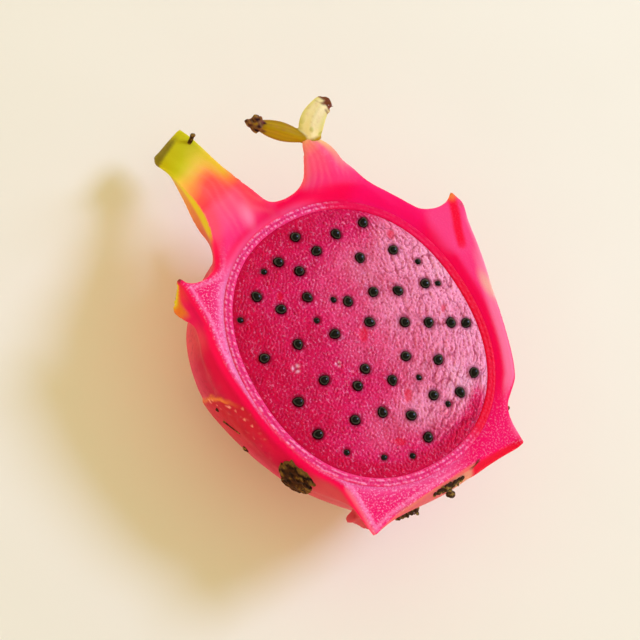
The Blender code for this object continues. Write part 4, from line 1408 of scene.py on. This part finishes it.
def seed_body(size, turn, lift):
    """A seed's points, blunt at one end and drawn in at the other, and its faces."""
    rings, spokes = ((19, 32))
    lean = np.linspace(0, math.pi, rings + 2)[1:-1]
    round_it = np.linspace(0, 2 * math.pi, spokes, endpoint=False)
    a, b = np.meshgrid(lean, round_it, indexing="ij")
    body = np.stack([np.cos(a), np.sin(a) * np.cos(b), np.sin(a) * np.sin(b)], axis=-1).reshape(-1, 3)
    pinch = 1.0 - 0.16 * body[:, 0] - 0.08 * body[:, 0] ** 2
    body[:, 1] *= pinch
    body[:, 2] *= pinch
    body = np.concatenate([body, [(1.0, 0, 0), (-1.0, 0, 0)]]) * 0.5 * size
    cos, sin = math.cos(turn), math.sin(turn)
    spin = np.array([(cos, -sin, 0), (sin, cos, 0), (0, 0, 1)])
    cos, sin = math.cos(lift), math.sin(lift)
    tip = np.array([(cos, 0, sin), (0, 1, 0), (-sin, 0, cos)])
    faces = []
    for ring in range(rings - 1):
        for k in range(spokes):
            a, b = ring * spokes + k, ring * spokes + (k + 1) % spokes
            faces.append((a, a + spokes, b + spokes, b))
    count, base = rings * spokes, (rings - 1) * spokes
    faces += [(count, k, (k + 1) % spokes) for k in range(spokes)]
    faces += [(count + 1, base + (k + 1) % spokes, base + k) for k in range(spokes)]
    return body @ tip.T @ spin.T, faces


def make_seeds(seeds):
    """A glossy seed for each packed one, turned at random and half sunk in the flesh."""
    gloss = seed_material()
    for number, (name, centre, size) in enumerate(seeds):
        small = size.max() < SMALL_BELOW
        body, faces = seed_body(SEED_SIZE * (SMALL_SIZE if small else 1.0), number * SEED_TURN,
                                SEED_LEAN * math.sin(number * SEED_STEP))
        dome = flesh_dome(centre[:1], centre[1:2])[0]
        middle = np.array((centre[0], centre[1], dome - (SMALL_SUNK if small else SUNK)))
        thing = new_mesh("shiny_" + name, body + middle, faces)
        place_piece(thing, gloss, name)


def seed_material():
    n = Nodes("seed")
    n.set(rough=0.2, gloss=0.22)
    colour = n.mix(n.steps(n.noise(0.9, 2.0), 0.45, 0.75), srgb(3, 2, 3), srgb(26, 10, 12))
    return n.wear(colour, n.bump(n.noise(0.7, 2.0), 0.10, 0.6))


# ---------------------------------------------------------------- stage

def floor_material():
    n = Nodes("paper")
    n.set(rough=0.85, gloss=0.2)
    colour = n.mix(n.noise(60.0, 2.0), srgb(243, 234, 214), srgb(248, 240, 222))
    n.link(colour, n.shader.inputs["Base Color"])
    return n.finish


FLOOR_HALF = 3.0  # in metres


def make_stage():
    mesh = bpy.data.meshes.new("floor")
    corners = [(FLOOR_HALF * x, FLOOR_HALF * y, 0) for x, y in ((-1, -1), (1, -1), (1, 1), (-1, 1))]
    mesh.from_pydata(corners, [], [(0, 1, 2, 3)])
    mesh.materials.append(floor_material())
    floor = add_object("floor", mesh)


# The camera leans from straight above toward one side, is turned about its view, and sees a square
# of the cut face's plane.
TILT = math.radians(25)
TOWARD = Vector((-0.951, -0.309, 0.0)).normalized()
ROLL = Vector((0.743, 0.669)).normalized()
DISTANCE = 0.6
AIM = Vector((-0.00657, 0.00879, RIM_HEIGHT))
FIELD = 0.1536
SENSOR = 36

# The room's brightness against the height of the way it comes from, its first two points the ends.
ROOM_LIGHT = [(0.0, 1.0), (1.0, 0.24), (0.2, 0.8), (0.4, 0.16), (0.8, 0.14)]
ROOM_STRENGTH = 3.75
ROOM_COLOUR = (1.0, 0.91, 0.56, 1.0)
LAMP_TURN = math.radians(-9)
LAMP_RISE = math.radians(46)
LAMP_SPREAD = math.radians(9)
LAMP_DISTANCE = 1.6
LAMP_POWER = 20.0
LAMP_COLOUR = (0.44, 0.56, 1.0)


def make_camera():
    up = Vector((0, 0, 1))
    view = TOWARD * math.sin(TILT) + up * math.cos(TILT)
    level = Vector((-TOWARD.y, TOWARD.x, 0))
    rising = -TOWARD * math.cos(TILT) + up * math.sin(TILT)
    right = level * ROLL.x + rising * ROLL.y
    top = -level * ROLL.y + rising * ROLL.x
    data = bpy.data.cameras.new("camera")
    data.sensor_width = SENSOR
    data.lens = SENSOR * DISTANCE / FIELD
    camera = add_object("camera", data)
    turn = Matrix((right, top, view)).transposed().to_4x4()
    camera.matrix_world = Matrix.Translation(AIM + view * DISTANCE) @ turn
    bpy.context.scene.camera = camera


def make_room():
    """A pale room, brightest low down."""
    world = bpy.data.worlds.new("room")
    bpy.context.scene.world = world
    world.use_nodes = True
    tree = world.node_tree
    background = tree.nodes["Background"]
    where = tree.nodes.new("ShaderNodeTexCoord")
    parts = tree.nodes.new("ShaderNodeSeparateXYZ")
    tree.links.new(where.outputs["Generated"], parts.inputs["Vector"])
    levels = tree.nodes.new("ShaderNodeFloatCurve")
    curve = levels.mapping.curves[0]
    for point, (height, strength) in zip(curve.points, ROOM_LIGHT[:2]):
        point.location = (height, strength)
    for height, strength in ROOM_LIGHT[2:]:
        curve.points.new(height, strength)
    levels.mapping.update()
    tree.links.new(parts.outputs["Z"], levels.inputs["Value"])
    glow = tree.nodes.new("ShaderNodeMath")
    glow.operation = "MULTIPLY"
    glow.inputs[1].default_value = ROOM_STRENGTH
    tree.links.new(levels.outputs["Value"], glow.inputs[0])
    tree.links.new(glow.outputs[0], background.inputs["Strength"])
    background.inputs["Color"].default_value = ROOM_COLOUR


def make_lamp():
    """One round lamp, high on the right."""
    data = bpy.data.lights.new("key", "AREA")
    data.shape = "DISK"
    data.size = 2 * LAMP_DISTANCE * math.tan(LAMP_SPREAD)
    data.energy = LAMP_POWER
    data.color = LAMP_COLOUR
    light = add_object("key", data)
    level = math.cos(LAMP_RISE)
    way = Vector((math.cos(LAMP_TURN) * level, math.sin(LAMP_TURN) * level, math.sin(LAMP_RISE)))
    light.location = way * LAMP_DISTANCE
    light.rotation_euler = way.to_track_quat("Z", "Y").to_euler()


# ---------------------------------------------------------------- build

def vertex_places(thing):
    """A mesh object's vertices in mm, with z from the cut face."""
    flat = np.empty(len(thing.data.vertices) * 3)
    thing.data.vertices.foreach_get("co", flat)
    places = flat.reshape(-1, 3) / MM
    places[:, 2] -= RIM_MM
    return places


def place_piece(thing, material, node):
    """Gives a piece its material, hides the part it stands for and hangs it on the root."""
    thing.data.materials.append(material)
    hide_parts(node)
    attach(thing, "root")


make_camera()
make_room()
make_lamp()
make_stage()
bpy.context.scene.view_settings.view_transform = "Standard"

RIND_PIECES = [
    (make_rind, paint_rind, rind_material()),
    (make_lip, paint_lip, rind_material("lip", 0.4, 0.08)),
    (make_curls, paint_curls, rind_material("dry_curl", 0.5, 0.1)),
    (make_scar, paint_scar, rind_material("cork", 0.8, 0.1)),
    (make_bits, paint_bits, rind_material("stalk", 0.7, 0.15)),
]
for make, paint, material in RIND_PIECES:
    piece = make()
    paint(piece, vertex_places(piece))
    place_piece(piece, material, "rind")

seeds = seed_places()
place_piece(make_flesh(seeds), flesh_material(), "flesh")
make_seeds(seeds)
